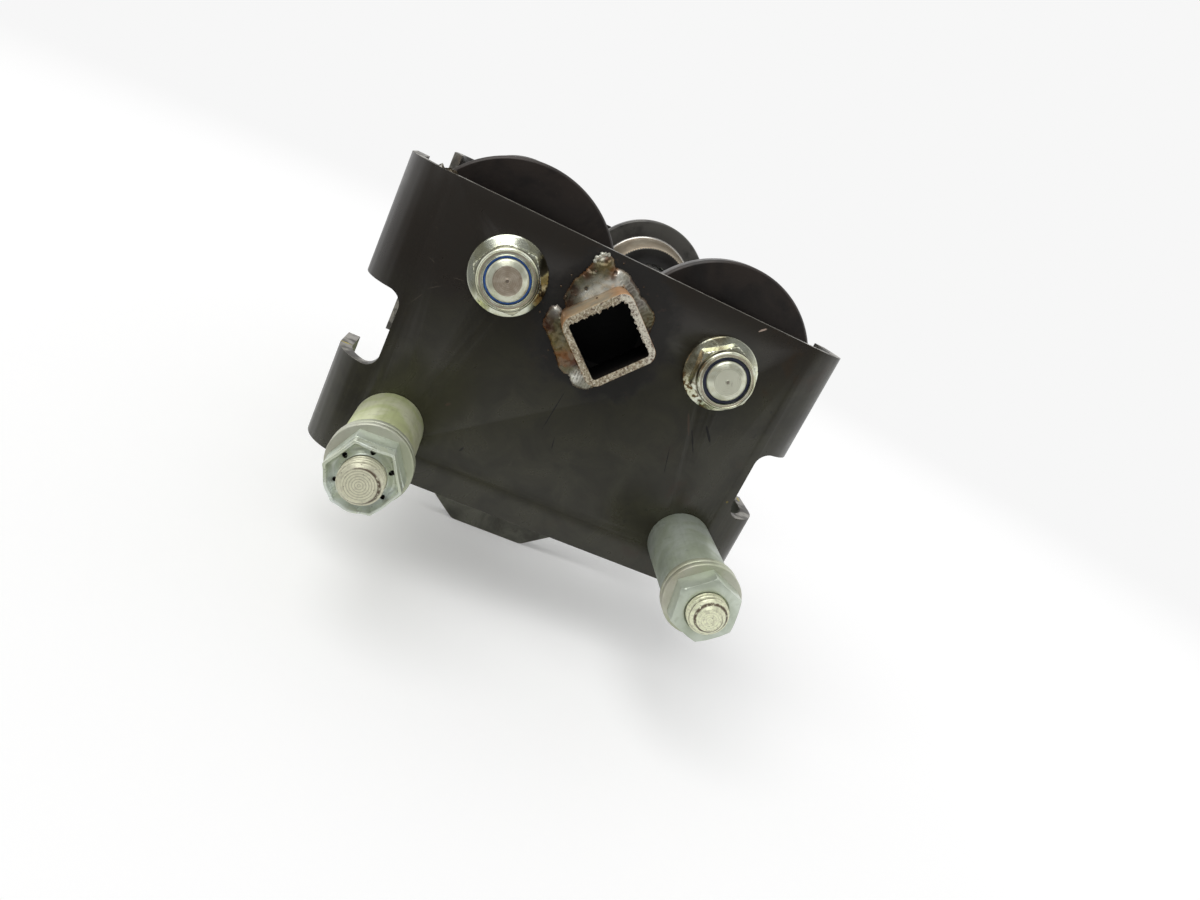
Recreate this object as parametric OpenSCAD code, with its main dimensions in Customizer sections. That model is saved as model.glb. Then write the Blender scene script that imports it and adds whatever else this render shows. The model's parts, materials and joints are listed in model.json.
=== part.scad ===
// Push trolley for a beam: two folded side plates with two flanged wheels each,
// joined by two threaded tie rods that also carry a pair of suspension plates.
// X runs along the beam, Y across it, Z up. The origin lies in the middle of the
// plan, at the height of the suspension plates' lower edge.
// Left is -X, right is +X, front is the -Y side and rear is the +Y side.

/* [Beam] */
// Width of the beam flange that the wheels run on
beam_flange_w = 200; // [160:5:240]
// Play between the beam flange and each wheel flange
flange_play = 3; // [2:0.5:5]

/* [Side plates] */
// Width of a side plate along the beam
plate_w = 194; // [180:2:230]
// Height of a side plate
plate_h = 120; // [112:2:150]
// Sheet thickness of a side plate
plate_t = 5; // [4:0.5:6]
// Outer radius of the folded edges
bend_r = 20; // [14:1:22]
// Depth of the folded edges, from the plate's outer face
fold_d = 36; // [30:1:44]
// Height of the notch that lets the beam flange pass
notch_h = 32; // [24:1:36]
// Distance from the plate's top edge down to the notch
notch_drop = 48.5; // [44:0.5:52]
// How far the notch reaches in from the folded edge
notch_in = 17.5; // [12:0.5:20]
// Corner radius at the bottom of the notch
notch_r = 6; // [3:0.5:8]

/* [Track wheels] */
// Gap between a wheel flange and the folded edge beside it
wheel_side_gap = 2.5; // [1.5:0.25:5]
// Gap between the two wheel flanges on a side plate
wheel_spacing = 7; // [3:0.5:12]
// Distance from the plate's top edge down to the axles
axle_drop = 25.5; // [22:0.5:30]
// Thickness of the wheel flange
flange_t = 8; // [6:0.5:10]
// Edge chamfer of the wheel flange and of the tread's end
wheel_edge = 1; // [0.5:0.25:1.5]
// Width of the tread
tread_w = 22; // [20:1:30]
// Tread radius at the flange
tread_r = 31.2; // [30:0.2:34]
// Taper of the tread, in degrees
tread_taper = 9; // [0:1:10]
// Fillet between the tread and the flange
root_fillet = 2; // [1:0.5:3]
// Gap between the side plate and the wheel flange
wheel_gap = 12; // [8:1:16]
// Depth of the lip that stops the bearing, at the tread's end
lip_l = 8; // [6:0.5:9]
// How far that lip reaches in over the bearing
lip_w = 2.5; // [1.5:0.25:3]

/* [Bearings] */
// Bearing bore
brg_bore = 17; // [17:0.5:18]
// Bearing outside diameter
brg_od = 40; // [38:1:42]
// Bearing width
brg_w = 12; // [11:0.5:13]
// Radial thickness of a bearing ring at its shoulder
brg_ring_t = 3.5; // [3.2:0.1:3.8]
// Ball diameter
ball_d = 6.75; // [6:0.25:7]
// Number of balls
ball_n = 8; // [6:1:9]
// Thickness of the ball cage
cage_t = 1.2; // [0.8:0.1:1.6]
// Thickness of a bearing shield
shield_t = 0.8; // [0.5:0.1:1]
// Thickness of the circlip in the wheel
wheel_clip_t = 1.75; // [1.5:0.25:2]
// Thickness of the circlip on the axle
axle_clip_t = 1; // [0.8:0.1:1.5]

/* [Axles] */
// Thread diameter of the axles and tie rods
thread_d = 16; // [14:1:16]
// Length of axle stud outside the side plate
stud_out = 14.2; // [13.5:0.1:18]
// Diameter of the collar that seats on the side plate
collar_d = 26; // [24:1:30]
// Thickness of that collar
collar_t = 8; // [5:0.5:10]
// Diameter of the shoulder behind the bearing
shoulder_d = 22; // [21:0.5:23]

/* [Axle lock nuts] */
// Diameter of the nut's flange
nut_flange_d = 31; // [30:0.5:34]
// Width across the flats of every nut
hex_s = 24; // [22:0.5:25]
// Height of the flanged lock nut
lock_nut_h = 12.8; // [12:0.1:14]
// Height of the round collar that grips the nylon ring
lock_collar_h = 3.2; // [2.5:0.1:4]
// Radial width of the nylon ring
nylon_w = 0.9; // [0.6:0.1:1.5]

/* [Tie rods] */
// Distance from a side plate's folded edge to the tie rod beside it
rod_inset = 30.75; // [28:0.25:36]
// Height of the tie rods above the plate's lower edge
rod_rise = 20; // [18:0.5:26]
// Outside diameter of the spacer tubes
spacer_d = 27.7; // [25:0.1:30]
// Length of the spacer tubes outside the side plates
outer_spacer_l = 38; // [20:1:50]
// How much longer the front right one of them is
long_spacer_more = 5.5; // [0:0.5:6]
// Washer diameter
washer_d = 31; // [28:0.5:34]
// Washer thickness
washer_t = 3; // [2:0.5:4]
// Height of a full nut
nut_h = 13; // [12:0.5:16]
// Height of the thin nuts at the front
thin_nut_h = 8; // [7:0.5:8]
// Height of the pressed lock nut
pressed_nut_h = 5; // [4:0.5:5]
// Sheet thickness of the pressed lock nut
pressed_nut_t = 1.2; // [0.8:0.1:1.5]
// Length of tie rod that stands out of a full nut
rod_proud = 5; // [3:0.5:10]
// How much further each end of the right tie rod stands out
right_rod_more = 1.5; // [0:0.5:5]

/* [Suspension plates] */
// Distance over the two suspension plates
hanger_span = 84; // [70:2:110]
// Thickness of a suspension plate
hanger_t = 8; // [6:0.5:12]
// How far a suspension plate reaches sideways past the tie rods
hanger_side = 17.75; // [14:0.25:20]
// Width of its flat lower edge
hanger_foot_w = 40; // [36:1:60]
// How far it reaches below the side plates
hanger_drop = 48; // [40:1:70]
// How far it reaches above the tie rods
hanger_rise = 18; // [17:0.5:18]
// Corner radius of a suspension plate
hanger_r = 5; // [3:0.5:8]
// Diameter of the load hole
load_hole_d = 22; // [16:0.5:26]
// Height of the load hole above the lower edge
load_hole_rise = 28; // [24:0.5:36]

/* [Square tube] */
// Outside width of the square tube welded to the front plate
tube_w = 28.6; // [25:0.1:32]
// Wall of the square tube
tube_t = 2.6; // [2:0.1:4]
// Outer corner radius of the square tube
tube_r = 4.5; // [3:0.1:6]
// Length of the square tube
tube_l = 20; // [10:1:40]
// Turn of the square tube, in degrees
tube_turn = 49; // [0:1:90]
// Sideways place of the square tube's centre
tube_x = -4; // [-8:0.5:8]
// Distance from the plate's top edge down to the square tube's centre
tube_drop = 29; // [27:0.5:40]
// Height of the weld bead
bead_h = 6; // [4:0.5:8]

/* [Clearances] */
// Radial clearance of a bearing ring in or on its seat
seat_play = 0.02; // [0.01:0.01:0.04]
// Radial clearance of the balls in their races and in the cage
ball_play = 0.06; // [0.04:0.01:0.1]
// Radial clearance of a nut or nylon ring on its thread
thread_play = 0.04; // [0.02:0.01:0.1]
// Radial clearance of an axle stud in its plate hole
stud_play = 0.25; // [0.1:0.05:0.5]
// Radial clearance of a tie rod in plates, washers and spacer tubes
rod_play = 0.5; // [0.2:0.1:0.7]

/* [Hidden] */
$fn = 96;
front = -1;
rear = 1;
left = -1;
right = 1;
both = [-1, 1];

// Clear distance between facing wheel flanges, and half the width over the plates
flange_gap = beam_flange_w + 2 * flange_play;
outer_y = flange_gap / 2 + flange_t + wheel_gap + plate_t;

// Two wheel flanges fill a side plate between its folded edges
flange_d = plate_w / 2 - plate_t - wheel_side_gap - wheel_spacing / 2;
axle_pitch = flange_d + wheel_spacing;
rod_pitch = plate_w - 2 * rod_inset;
hanger_w = rod_pitch + 2 * hanger_side;

// Heights, counted from the suspension plates' lower edge
plate_z = hanger_drop;
top_z = plate_z + plate_h;
axle_z = top_z - axle_drop;
rod_z = plate_z + rod_rise;
tube_z = top_z - tube_drop;

// Depths inward from a side plate's outer face
wheel_u = plate_t + wheel_gap;
tread_u = wheel_u + flange_t;
wheel_end_u = tread_u + tread_w;
brg_end_u = wheel_end_u - lip_l;
brg_u = brg_end_u - brg_w;
hanger_u = outer_y - hanger_span / 2;

// Length of an outer spacer tube, and the depth of the nut's seat outside its washers
function spacer_l(col, side) =
    outer_spacer_l + (col == right && side == front ? long_spacer_more : 0);
function nut_seat_u(col, side) = -spacer_l(col, side) - 2 * washer_t;

// Radii
thread_r = thread_d / 2;
rod_hole_r = thread_r + rod_play;
stud_hole_r = thread_r + stud_play;
nut_hole_r = thread_r + thread_play;
nylon_r = thread_r + nylon_w;
hex_r = hex_s / 2 / cos(30);
seat_r = brg_bore / 2;
pitch_r = (brg_bore + brg_od) / 4;
race_in_r = seat_r + brg_ring_t;
race_out_r = brg_od / 2 - brg_ring_t;
lip_r = brg_od / 2 - lip_w;

// Small forms of the fasteners: chamfers, skirts, grooves, lips and eyes
stud_chamfer = [2.3, 1.6];
rod_chamfer = [1.2, 1.6];
axle_end_l = 1.6;
axle_end_chamfer = 0.6;
groove_depth = 0.5;
nut_flange_t = 1.8;
nut_skirt_h = 1.6;
hex_chamfer_r = hex_s / 2 + 0.2;
hex_chamfer_slope = 1.7;
nut_sink = 0.6;
lock_lip_w = 1.2;
lock_step = 0.4;
nylon_l = 2;
pressed_slots = 6;
pressed_slot_r = 1;
pressed_floor_w = 1.6;
pressed_rim_w = 0.9;
pressed_wall_lean = 1.4;
pressed_rise = 1.4;
bore_chamfer = 1;
shield_lap = 0.7;
shield_play = 0.3;
clip_side_play = 0.05;
clip_reach = 1.2;
wheel_clip_w = 2.2;
wheel_clip_lug_r = 2;
axle_clip_lug_r = 1.6;
cage_rim = 0.8;

// Turns of the nuts, in degrees, as they happened to be tightened
left_lock_nut_turn = 1;
right_lock_nut_turn = 34;
thin_nuts = [[left, 2], [right, 40]];
full_nuts = [[left, 10], [right, 25]];
cut = 1;

// Rotates a half turn profile's axis from Z into the inward direction
module inward() rotate([-90, 0, 0]) children();

// Children are drawn for the front side, with Y counted inward from the
// front plate's outer face, and are mirrored for the rear side
module on_side(side) {
    if (side == front) translate([0, -outer_y, 0]) children();
    else mirror([0, 1, 0]) translate([0, -outer_y, 0]) children();
}

module on_axle(col, side)
    on_side(side) translate([col * axle_pitch / 2, 0, axle_z]) inward() children();

module on_rod(col, side)
    on_side(side) translate([col * rod_pitch / 2, 0, rod_z]) inward() children();

// A round ring from depth u0 to u1
module ring(r_out, r_in, u0, u1) {
    translate([0, 0, u0]) difference() {
        cylinder(h = u1 - u0, r = r_out);
        translate([0, 0, -cut]) cylinder(h = u1 - u0 + 2 * cut, r = r_in);
    }
}

// A hexagon nut from depth u0 to u0 + h, with its outer corners chamfered
module hexagon_nut(h, u0, turn) {
    translate([0, 0, u0]) difference() {
        intersection() {
            rotate([0, 0, -turn]) cylinder(h = h, r = hex_r, $fn = 6);
            cylinder(h = h, r1 = hex_chamfer_r, r2 = hex_chamfer_r + h * hex_chamfer_slope);
        }
        translate([0, 0, -cut]) cylinder(h = h + 2 * cut, r = nut_hole_r);
        for (z = [0, h]) mirror([0, 0, z > 0 ? 1 : 0]) translate([0, 0, -z])
            cylinder(h = nut_sink, r1 = nut_hole_r + nut_sink, r2 = nut_hole_r);
    }
}

// A quarter ring that turns the flat web into a folded edge
module bend_quarter()
    intersection() {
        difference() {
            circle(r = bend_r);
            circle(r = bend_r - plate_t);
        }
        translate([0, -bend_r]) square(bend_r);
    }

// The folded sheet seen from above: a flat web, two bends and two folded edges
module folded_section() {
    half = plate_w / 2;
    translate([bend_r - half, 0]) square([plate_w - 2 * bend_r, plate_t]);
    for (s = both) mirror([s > 0 ? 0 : 1, 0]) {
        translate([half - bend_r, bend_r]) bend_quarter();
        translate([half - plate_t, bend_r]) square([plate_t, fold_d - bend_r]);
    }
}

// One notch, round at its inner corners and open at the folded edge
module notch_outline() {
    reach = notch_in + cut;
    translate([0, notch_r]) square([reach, notch_h - 2 * notch_r]);
    translate([notch_r, 0]) square([reach - notch_r, notch_h]);
    for (z = [notch_r, notch_h - notch_r]) translate([notch_r, z]) circle(r = notch_r);
}

module side_plate(side) {
    notch_x = plate_w / 2 - notch_in;
    notch_z = top_z - notch_drop - notch_h;
    on_side(side) difference() {
        translate([0, 0, plate_z]) linear_extrude(plate_h) folded_section();
        for (s = both) mirror([s > 0 ? 0 : 1, 0, 0]) {
            translate([notch_x, fold_d + cut, notch_z])
                rotate([90, 0, 0]) linear_extrude(fold_d + 2 * cut) notch_outline();
            translate([axle_pitch / 2, -cut, axle_z])
                inward() cylinder(h = plate_t + 2 * cut, r = stud_hole_r);
            translate([rod_pitch / 2, -cut, rod_z])
                inward() cylinder(h = plate_t + 2 * cut, r = rod_hole_r);
        }
    }
}

// Points of a rounded corner at b, on the way from a to c
function unit(v) = v / norm(v);
function corner(a, b, c, r, n = 6) =
    let (
        u = unit(a - b),
        v = unit(c - b),
        half = acos(u * v) / 2,
        mid = b + unit(u + v) * r / sin(half),
        p = b + u * r / tan(half),
        q = b + v * r / tan(half),
        a0 = atan2(p[1] - mid[1], p[0] - mid[0]),
        a1 = atan2(q[1] - mid[1], q[0] - mid[0]),
        turn = (a1 - a0 + 540) % 360 - 180
    )
    [for (i = [0:n]) mid + r * [cos(a0 + turn * i / n), sin(a0 + turn * i / n)]];

module hanger_outline() {
    half = hanger_w / 2;
    foot = hanger_foot_w / 2;
    top = rod_z + hanger_rise;
    shoulder = plate_z;
    pts = [[-foot, 0], [foot, 0], [half, shoulder], [half, top], [-half, top], [-half, shoulder]];
    n = len(pts);
    polygon([for (i = [0:n - 1])
        each corner(pts[(i + n - 1) % n], pts[i], pts[(i + 1) % n], hanger_r)]);
}

module suspension_plate(side) {
    on_side(side) translate([0, hanger_u, 0]) difference() {
        translate([0, hanger_t, 0]) rotate([90, 0, 0]) linear_extrude(hanger_t) hanger_outline();
        translate([0, -cut, load_hole_rise])
            inward() cylinder(h = hanger_t + 2 * cut, r = load_hole_d / 2);
        for (s = both)
            translate([s * rod_pitch / 2, -cut, rod_z])
                inward() cylinder(h = hanger_t + 2 * cut, r = rod_hole_r);
    }
}

module tie_rod(col) {
    half = outer_y - nut_seat_u(col, rear) + nut_h + rod_proud + (col == right ? right_rod_more : 0);
    translate([col * rod_pitch / 2, 0, rod_z]) inward() {
        cylinder(h = 2 * (half - rod_chamfer[1]), r = thread_r, center = true);
        for (s = both) mirror([0, 0, s > 0 ? 0 : 1])
            translate([0, 0, half - rod_chamfer[1]])
                cylinder(h = rod_chamfer[1], r1 = thread_r, r2 = thread_r - rod_chamfer[0]);
    }
}

module middle_spacer(col)
    on_rod(col, front)
        ring(spacer_d / 2, rod_hole_r, hanger_u + hanger_t, 2 * outer_y - hanger_u - hanger_t);

module inner_spacer(col, side)
    on_rod(col, side) ring(spacer_d / 2, rod_hole_r, plate_t, hanger_u);

module outer_spacer(col, side)
    on_rod(col, side) ring(spacer_d / 2, rod_hole_r, -spacer_l(col, side), 0);

// One washer on each rod end, counted inward from the nut
module washers(i)
    for (side = both, col = both)
        on_rod(col, side) translate([0, 0, nut_seat_u(col, side) + i * washer_t])
            ring(washer_d / 2, rod_hole_r, 0, washer_t);

module tie_rod_nuts()
    for (nut = full_nuts)
        on_rod(nut[0], rear) hexagon_nut(nut_h, nut_seat_u(nut[0], rear) - nut_h, nut[1]);

module tie_rod_thin_nuts()
    for (nut = thin_nuts)
        on_rod(nut[0], front)
            hexagon_nut(thin_nut_h, nut_seat_u(nut[0], front) - thin_nut_h, nut[1]);

// A hexagonal cup of sheet steel, open outward, whose slotted floor rises to the thread
module pressed_lock_nut() {
    slot_at = thread_r + pressed_floor_w;
    depth = pressed_nut_h - pressed_nut_t;
    rim_r = hex_r - pressed_rim_w;
    floor_r = rim_r - pressed_wall_lean;
    rim_u = nut_seat_u(left, front) - thin_nut_h - pressed_nut_h;
    on_rod(left, front) translate([0, 0, rim_u]) difference() {
        union() {
            difference() {
                cylinder(h = pressed_nut_h, r = hex_r, $fn = 6);
                cylinder(h = depth, r1 = rim_r, r2 = floor_r, $fn = 6);
                translate([0, 0, -cut]) cylinder(h = cut, r = rim_r, $fn = 6);
            }
            translate([0, 0, depth - pressed_rise])
                cylinder(h = pressed_rise + pressed_nut_t / 2, r1 = slot_at, r2 = floor_r * cos(30));
        }
        translate([0, 0, -cut]) cylinder(h = pressed_nut_h + 2 * cut, r = nut_hole_r);
        for (i = [1:pressed_slots])
            rotate([0, 0, (i + 1 / 2) * 360 / pressed_slots]) translate([slot_at, 0, -cut])
                cylinder(h = pressed_nut_h + 2 * cut, r = pressed_slot_r);
    }
}

// Frame of the square tube: its sides lie along X and Z, its root at Y zero
module at_tube() translate([tube_x, -outer_y, tube_z]) rotate([0, -tube_turn, 0]) children();

module rounded_square(w, r) {
    square([w, w - 2 * r], center = true);
    square([w - 2 * r, w], center = true);
    for (x = both, y = both) translate([x * (w / 2 - r), y * (w / 2 - r)]) circle(r = r);
}

module square_tube()
    at_tube() rotate([90, 0, 0]) linear_extrude(tube_l) difference() {
        rounded_square(tube_w, tube_r);
        rounded_square(tube_w - 2 * tube_t, max(0.5, tube_r - tube_t));
    }

// One lump of a weld run, a flat-topped cone that stands on the plate
module bead_lump(place) {
    r = place[2];
    h = min(bead_h, r);
    translate([place[0], 0, place[1]])
        rotate([90, 0, 0]) cylinder(h = h, r1 = r, r2 = r * 0.35, $fn = 24);
}

module weld_run(places)
    for (i = [1:len(places) - 1])
        hull() {
            bead_lump(places[i - 1]);
            bead_lump(places[i]);
        }

// Weld runs along three sides of the tube, heaviest at its upper corner, each
// given as sideways place, upward place and radius in the tube's own directions
module tube_weld() {
    side = tube_w / 2;
    at_tube() difference() {
        union() {
            weld_run([
                [3 - side, side + 2, 3.5],
                [0, side + 4, 6],
                [side - 6, side + 6, 7.5],
                [side + 1, side - 1, 6],
                [side + 1.5, 0, 5],
                [side + 1, 5 - side, 4]
            ]);
            weld_run([[-side - 1, side - 4, 6.5], [-side - 1, 5 - side, 5.5]]);
        }
        translate([0, cut, 0]) rotate([90, 0, 0])
            linear_extrude(tube_l + bead_h + 2 * cut) rounded_square(tube_w, tube_r);
    }
}

// A flanged hexagon lock nut with a round collar over its nylon ring
module lock_nut(turn) {
    hex_h = lock_nut_h - lock_collar_h;
    collar_r = hex_s / 2 - lock_step;
    difference() {
        union() {
            translate([0, 0, -nut_flange_t]) cylinder(h = nut_flange_t, r = nut_flange_d / 2);
            translate([0, 0, -nut_flange_t - nut_skirt_h])
                cylinder(h = nut_skirt_h, r1 = hex_s / 2, r2 = nut_flange_d / 2 - lock_step);
            translate([0, 0, -hex_h]) intersection() {
                rotate([0, 0, -turn]) cylinder(h = hex_h - nut_flange_t, r = hex_r, $fn = 6);
                cylinder(h = hex_h, r1 = hex_chamfer_r, r2 = hex_chamfer_r + hex_h * hex_chamfer_slope);
            }
            translate([0, 0, -lock_nut_h + 1])
                cylinder(h = lock_nut_h - 1 - nut_flange_t, r = collar_r);
            translate([0, 0, -lock_nut_h]) cylinder(h = 1, r1 = nylon_r + lock_lip_w, r2 = collar_r);
        }
        translate([0, 0, -lock_nut_h - cut]) cylinder(h = lock_nut_h + 2 * cut, r = nut_hole_r);
        translate([0, 0, -lock_nut_h - cut]) cylinder(h = lock_collar_h + cut, r = nylon_r);
    }
}

module axle_lock_nuts()
    for (side = both) {
        on_axle(left, side) lock_nut(left_lock_nut_turn);
        on_axle(right, side) lock_nut(right_lock_nut_turn);
    }

module nylon_rings(col)
    for (side = both)
        on_axle(col, side)
            ring(nylon_r, nut_hole_r, -lock_nut_h + lock_collar_h - nylon_l, -lock_nut_h + lock_collar_h);

module axle(col, side) {
    groove_end_u = brg_end_u + axle_clip_t + 2 * clip_side_play;
    end_u = groove_end_u + axle_end_l;
    bearing_r = seat_r - seat_play;
    on_axle(col, side) rotate_extrude() polygon([
        [0, -stud_out],
        [thread_r - stud_chamfer[0], -stud_out],
        [thread_r, -stud_out + stud_chamfer[1]],
        [thread_r, plate_t],
        [collar_d / 2, plate_t],
        [collar_d / 2, plate_t + collar_t],
        [shoulder_d / 2, plate_t + collar_t],
        [shoulder_d / 2, brg_u],
        [bearing_r, brg_u],
        [bearing_r, brg_end_u],
        [seat_r - groove_depth, brg_end_u],
        [seat_r - groove_depth, groove_end_u],
        [bearing_r, groove_end_u],
        [bearing_r, end_u - axle_end_chamfer],
        [bearing_r - axle_end_chamfer, end_u],
        [0, end_u]
    ]);
}

// Flat ring with an open gap and a lug with an eye on each side of the gap
module circlip(r_out, r_in, lug_at, lug_r, t) {
    lug_a = atan(lug_r * 1.5 / lug_at);
    difference() {
        union() {
            ring(r_out, r_in, 0, t);
            for (s = both) rotate([0, 0, s * lug_a])
                translate([lug_at, 0, 0]) cylinder(h = t, r = lug_r);
        }
        for (s = both) rotate([0, 0, s * lug_a])
            translate([lug_at, 0, -cut]) cylinder(h = t + 2 * cut, r = lug_r * 0.45);
        translate([0, -lug_r * 0.8, -cut]) cube([2 * r_out, lug_r * 1.6, t + 2 * cut]);
    }
}

module axle_circlips() {
    lug_at = race_in_r - axle_clip_lug_r - shield_play;
    for (side = both, col = both)
        on_axle(col, side) translate([0, 0, brg_end_u + clip_side_play])
            circlip(lug_at + shield_play, seat_r - groove_depth + seat_play,
                lug_at, axle_clip_lug_r, axle_clip_t);
}

module wheel_circlip(col, side) {
    clip_in_r = brg_od / 2 - wheel_clip_w;
    on_axle(col, side) translate([0, 0, brg_u - wheel_clip_t - clip_side_play])
        circlip(brg_od / 2 + clip_reach, clip_in_r, clip_in_r, wheel_clip_lug_r, wheel_clip_t);
}

// Track wheel: a flange, a tapered tread and a bore stepped for bearing and circlip
module wheel(col, side) {
    flange_r = flange_d / 2;
    end_r = tread_r - tread_w * tan(tread_taper);
    bore_r = brg_od / 2 + seat_play;
    groove_r = brg_od / 2 + clip_reach + seat_play;
    groove_u = brg_u - wheel_clip_t - 2 * clip_side_play;
    fillet = [for (a = [0:15:90]) [
        tread_r + root_fillet * (1 - sin(a)),
        tread_u + root_fillet * (1 - cos(a))
    ]];
    on_axle(col, side) rotate_extrude($fn = 128) polygon(concat(
        [
            [bore_r + bore_chamfer, wheel_u],
            [flange_r - wheel_edge, wheel_u],
            [flange_r, wheel_u + wheel_edge],
            [flange_r, tread_u - wheel_edge],
            [flange_r - wheel_edge, tread_u]
        ],
        fillet,
        [
            [end_r + wheel_edge * tan(tread_taper), wheel_end_u - wheel_edge],
            [end_r - wheel_edge, wheel_end_u],
            [lip_r, wheel_end_u],
            [lip_r, brg_end_u],
            [bore_r, brg_end_u],
            [bore_r, brg_u],
            [groove_r, brg_u],
            [groove_r, groove_u],
            [bore_r, groove_u],
            [bore_r, wheel_u + bore_chamfer]
        ]
    ));
}

module race_cut()
    translate([0, 0, brg_w / 2]) rotate_extrude()
        translate([pitch_r, 0]) circle(r = ball_d / 2 + ball_play, $fn = 48);

module inner_race(col, side)
    on_axle(col, side) translate([0, 0, brg_u]) difference() {
        ring(race_in_r, seat_r, 0, brg_w);
        race_cut();
    }

// The outer race is cut back at both ends for the shields
module outer_race(col, side)
    on_axle(col, side) translate([0, 0, brg_u]) difference() {
        ring(brg_od / 2, race_out_r, 0, brg_w);
        race_cut();
        for (u = [-cut, brg_w - shield_t])
            translate([0, 0, u]) cylinder(h = shield_t + cut, r = race_out_r + shield_lap);
    }

module place_balls()
    translate([0, 0, brg_w / 2]) for (i = [1:ball_n])
        rotate([0, 0, i * 360 / ball_n]) translate([pitch_r, 0, 0]) children();

module balls(col, side)
    on_axle(col, side) translate([0, 0, brg_u]) place_balls() sphere(d = ball_d, $fn = 48);

// A thin ring with a round pocket for each ball
module cage(col, side) {
    cage_w = ball_d + 2 * cage_rim;
    on_axle(col, side) translate([0, 0, brg_u]) difference() {
        ring(pitch_r + cage_t / 2, pitch_r - cage_t / 2, (brg_w - cage_w) / 2, (brg_w + cage_w) / 2);
        place_balls() translate([-cage_t, 0, 0]) rotate([0, 90, 0])
            cylinder(h = 2 * cage_t, r = ball_d / 2 + ball_play);
    }
}

module shields(col, side)
    on_axle(col, side) translate([0, 0, brg_u]) for (u = [0, brg_w - shield_t])
        ring(race_out_r + shield_lap, race_in_r + shield_play, u, u + shield_t);

module plate_paint() color([0.13, 0.13, 0.12]) children();
module zinc() color([0.72, 0.73, 0.62]) children();
module bright_steel() color([0.75, 0.75, 0.74]) children();
module bare_steel() color([0.62, 0.58, 0.5]) children();
module wheel_steel() color([0.28, 0.25, 0.23]) children();

plate_paint() side_plate(front);  // front_side_plate
plate_paint() side_plate(rear);  // rear_side_plate
plate_paint() suspension_plate(front);  // front_suspension_plate
plate_paint() suspension_plate(rear);  // rear_suspension_plate
zinc() tie_rod(left);  // left_tie_rod
zinc() tie_rod(right);  // right_tie_rod
zinc() middle_spacer(left);  // left_middle_spacer
zinc() middle_spacer(right);  // right_middle_spacer
zinc() inner_spacer(left, front);  // front_left_inner_spacer
zinc() inner_spacer(right, front);  // front_right_inner_spacer
zinc() inner_spacer(left, rear);  // rear_left_inner_spacer
zinc() inner_spacer(right, rear);  // rear_right_inner_spacer
zinc() outer_spacer(left, front);  // front_left_outer_spacer
zinc() outer_spacer(right, front);  // front_right_outer_spacer
zinc() outer_spacer(left, rear);  // rear_left_outer_spacer
zinc() outer_spacer(right, rear);  // rear_right_outer_spacer
zinc() washers(1);  // spacer_washers
zinc() washers(0);  // nut_washers
zinc() tie_rod_nuts();
zinc() tie_rod_thin_nuts();
zinc() pressed_lock_nut();
bare_steel() square_tube();
color([0.45, 0.36, 0.26]) tube_weld();
bright_steel() axle_lock_nuts();
color([0.12, 0.22, 0.5]) nylon_rings(left);  // left_nylon_rings
color([0.08, 0.08, 0.14]) nylon_rings(right);  // right_nylon_rings
color([0.2, 0.2, 0.2]) axle_circlips();
bright_steel() axle(left, front);  // front_left_axle
bright_steel() axle(right, front);  // front_right_axle
bright_steel() axle(left, rear);  // rear_left_axle
bright_steel() axle(right, rear);  // rear_right_axle
bright_steel() inner_race(left, front);  // front_left_inner_race
bright_steel() inner_race(right, front);  // front_right_inner_race
bright_steel() inner_race(left, rear);  // rear_left_inner_race
bright_steel() inner_race(right, rear);  // rear_right_inner_race
wheel_steel() wheel(left, front);  // front_left_wheel
bright_steel() outer_race(left, front);  // front_left_outer_race
bright_steel() balls(left, front);  // front_left_balls
bright_steel() cage(left, front);  // front_left_cage
bright_steel() shields(left, front);  // front_left_shields
wheel_steel() wheel_circlip(left, front);  // front_left_circlip
wheel_steel() wheel(right, front);  // front_right_wheel
bright_steel() outer_race(right, front);  // front_right_outer_race
bright_steel() balls(right, front);  // front_right_balls
bright_steel() cage(right, front);  // front_right_cage
bright_steel() shields(right, front);  // front_right_shields
wheel_steel() wheel_circlip(right, front);  // front_right_circlip
wheel_steel() wheel(left, rear);  // rear_left_wheel
bright_steel() outer_race(left, rear);  // rear_left_outer_race
bright_steel() balls(left, rear);  // rear_left_balls
bright_steel() cage(left, rear);  // rear_left_cage
bright_steel() shields(left, rear);  // rear_left_shields
wheel_steel() wheel_circlip(left, rear);  // rear_left_circlip
wheel_steel() wheel(right, rear);  // rear_right_wheel
bright_steel() outer_race(right, rear);  // rear_right_outer_race
bright_steel() balls(right, rear);  // rear_right_balls
bright_steel() cage(right, rear);  // rear_right_cage
bright_steel() shields(right, rear);  // rear_right_shields
wheel_steel() wheel_circlip(right, rear);  // rear_right_circlip
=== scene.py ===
import json
from math import atan2, cos, exp, hypot, pi, radians, sin

import bmesh
import bpy
from mathutils import Matrix, Vector, noise

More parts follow.
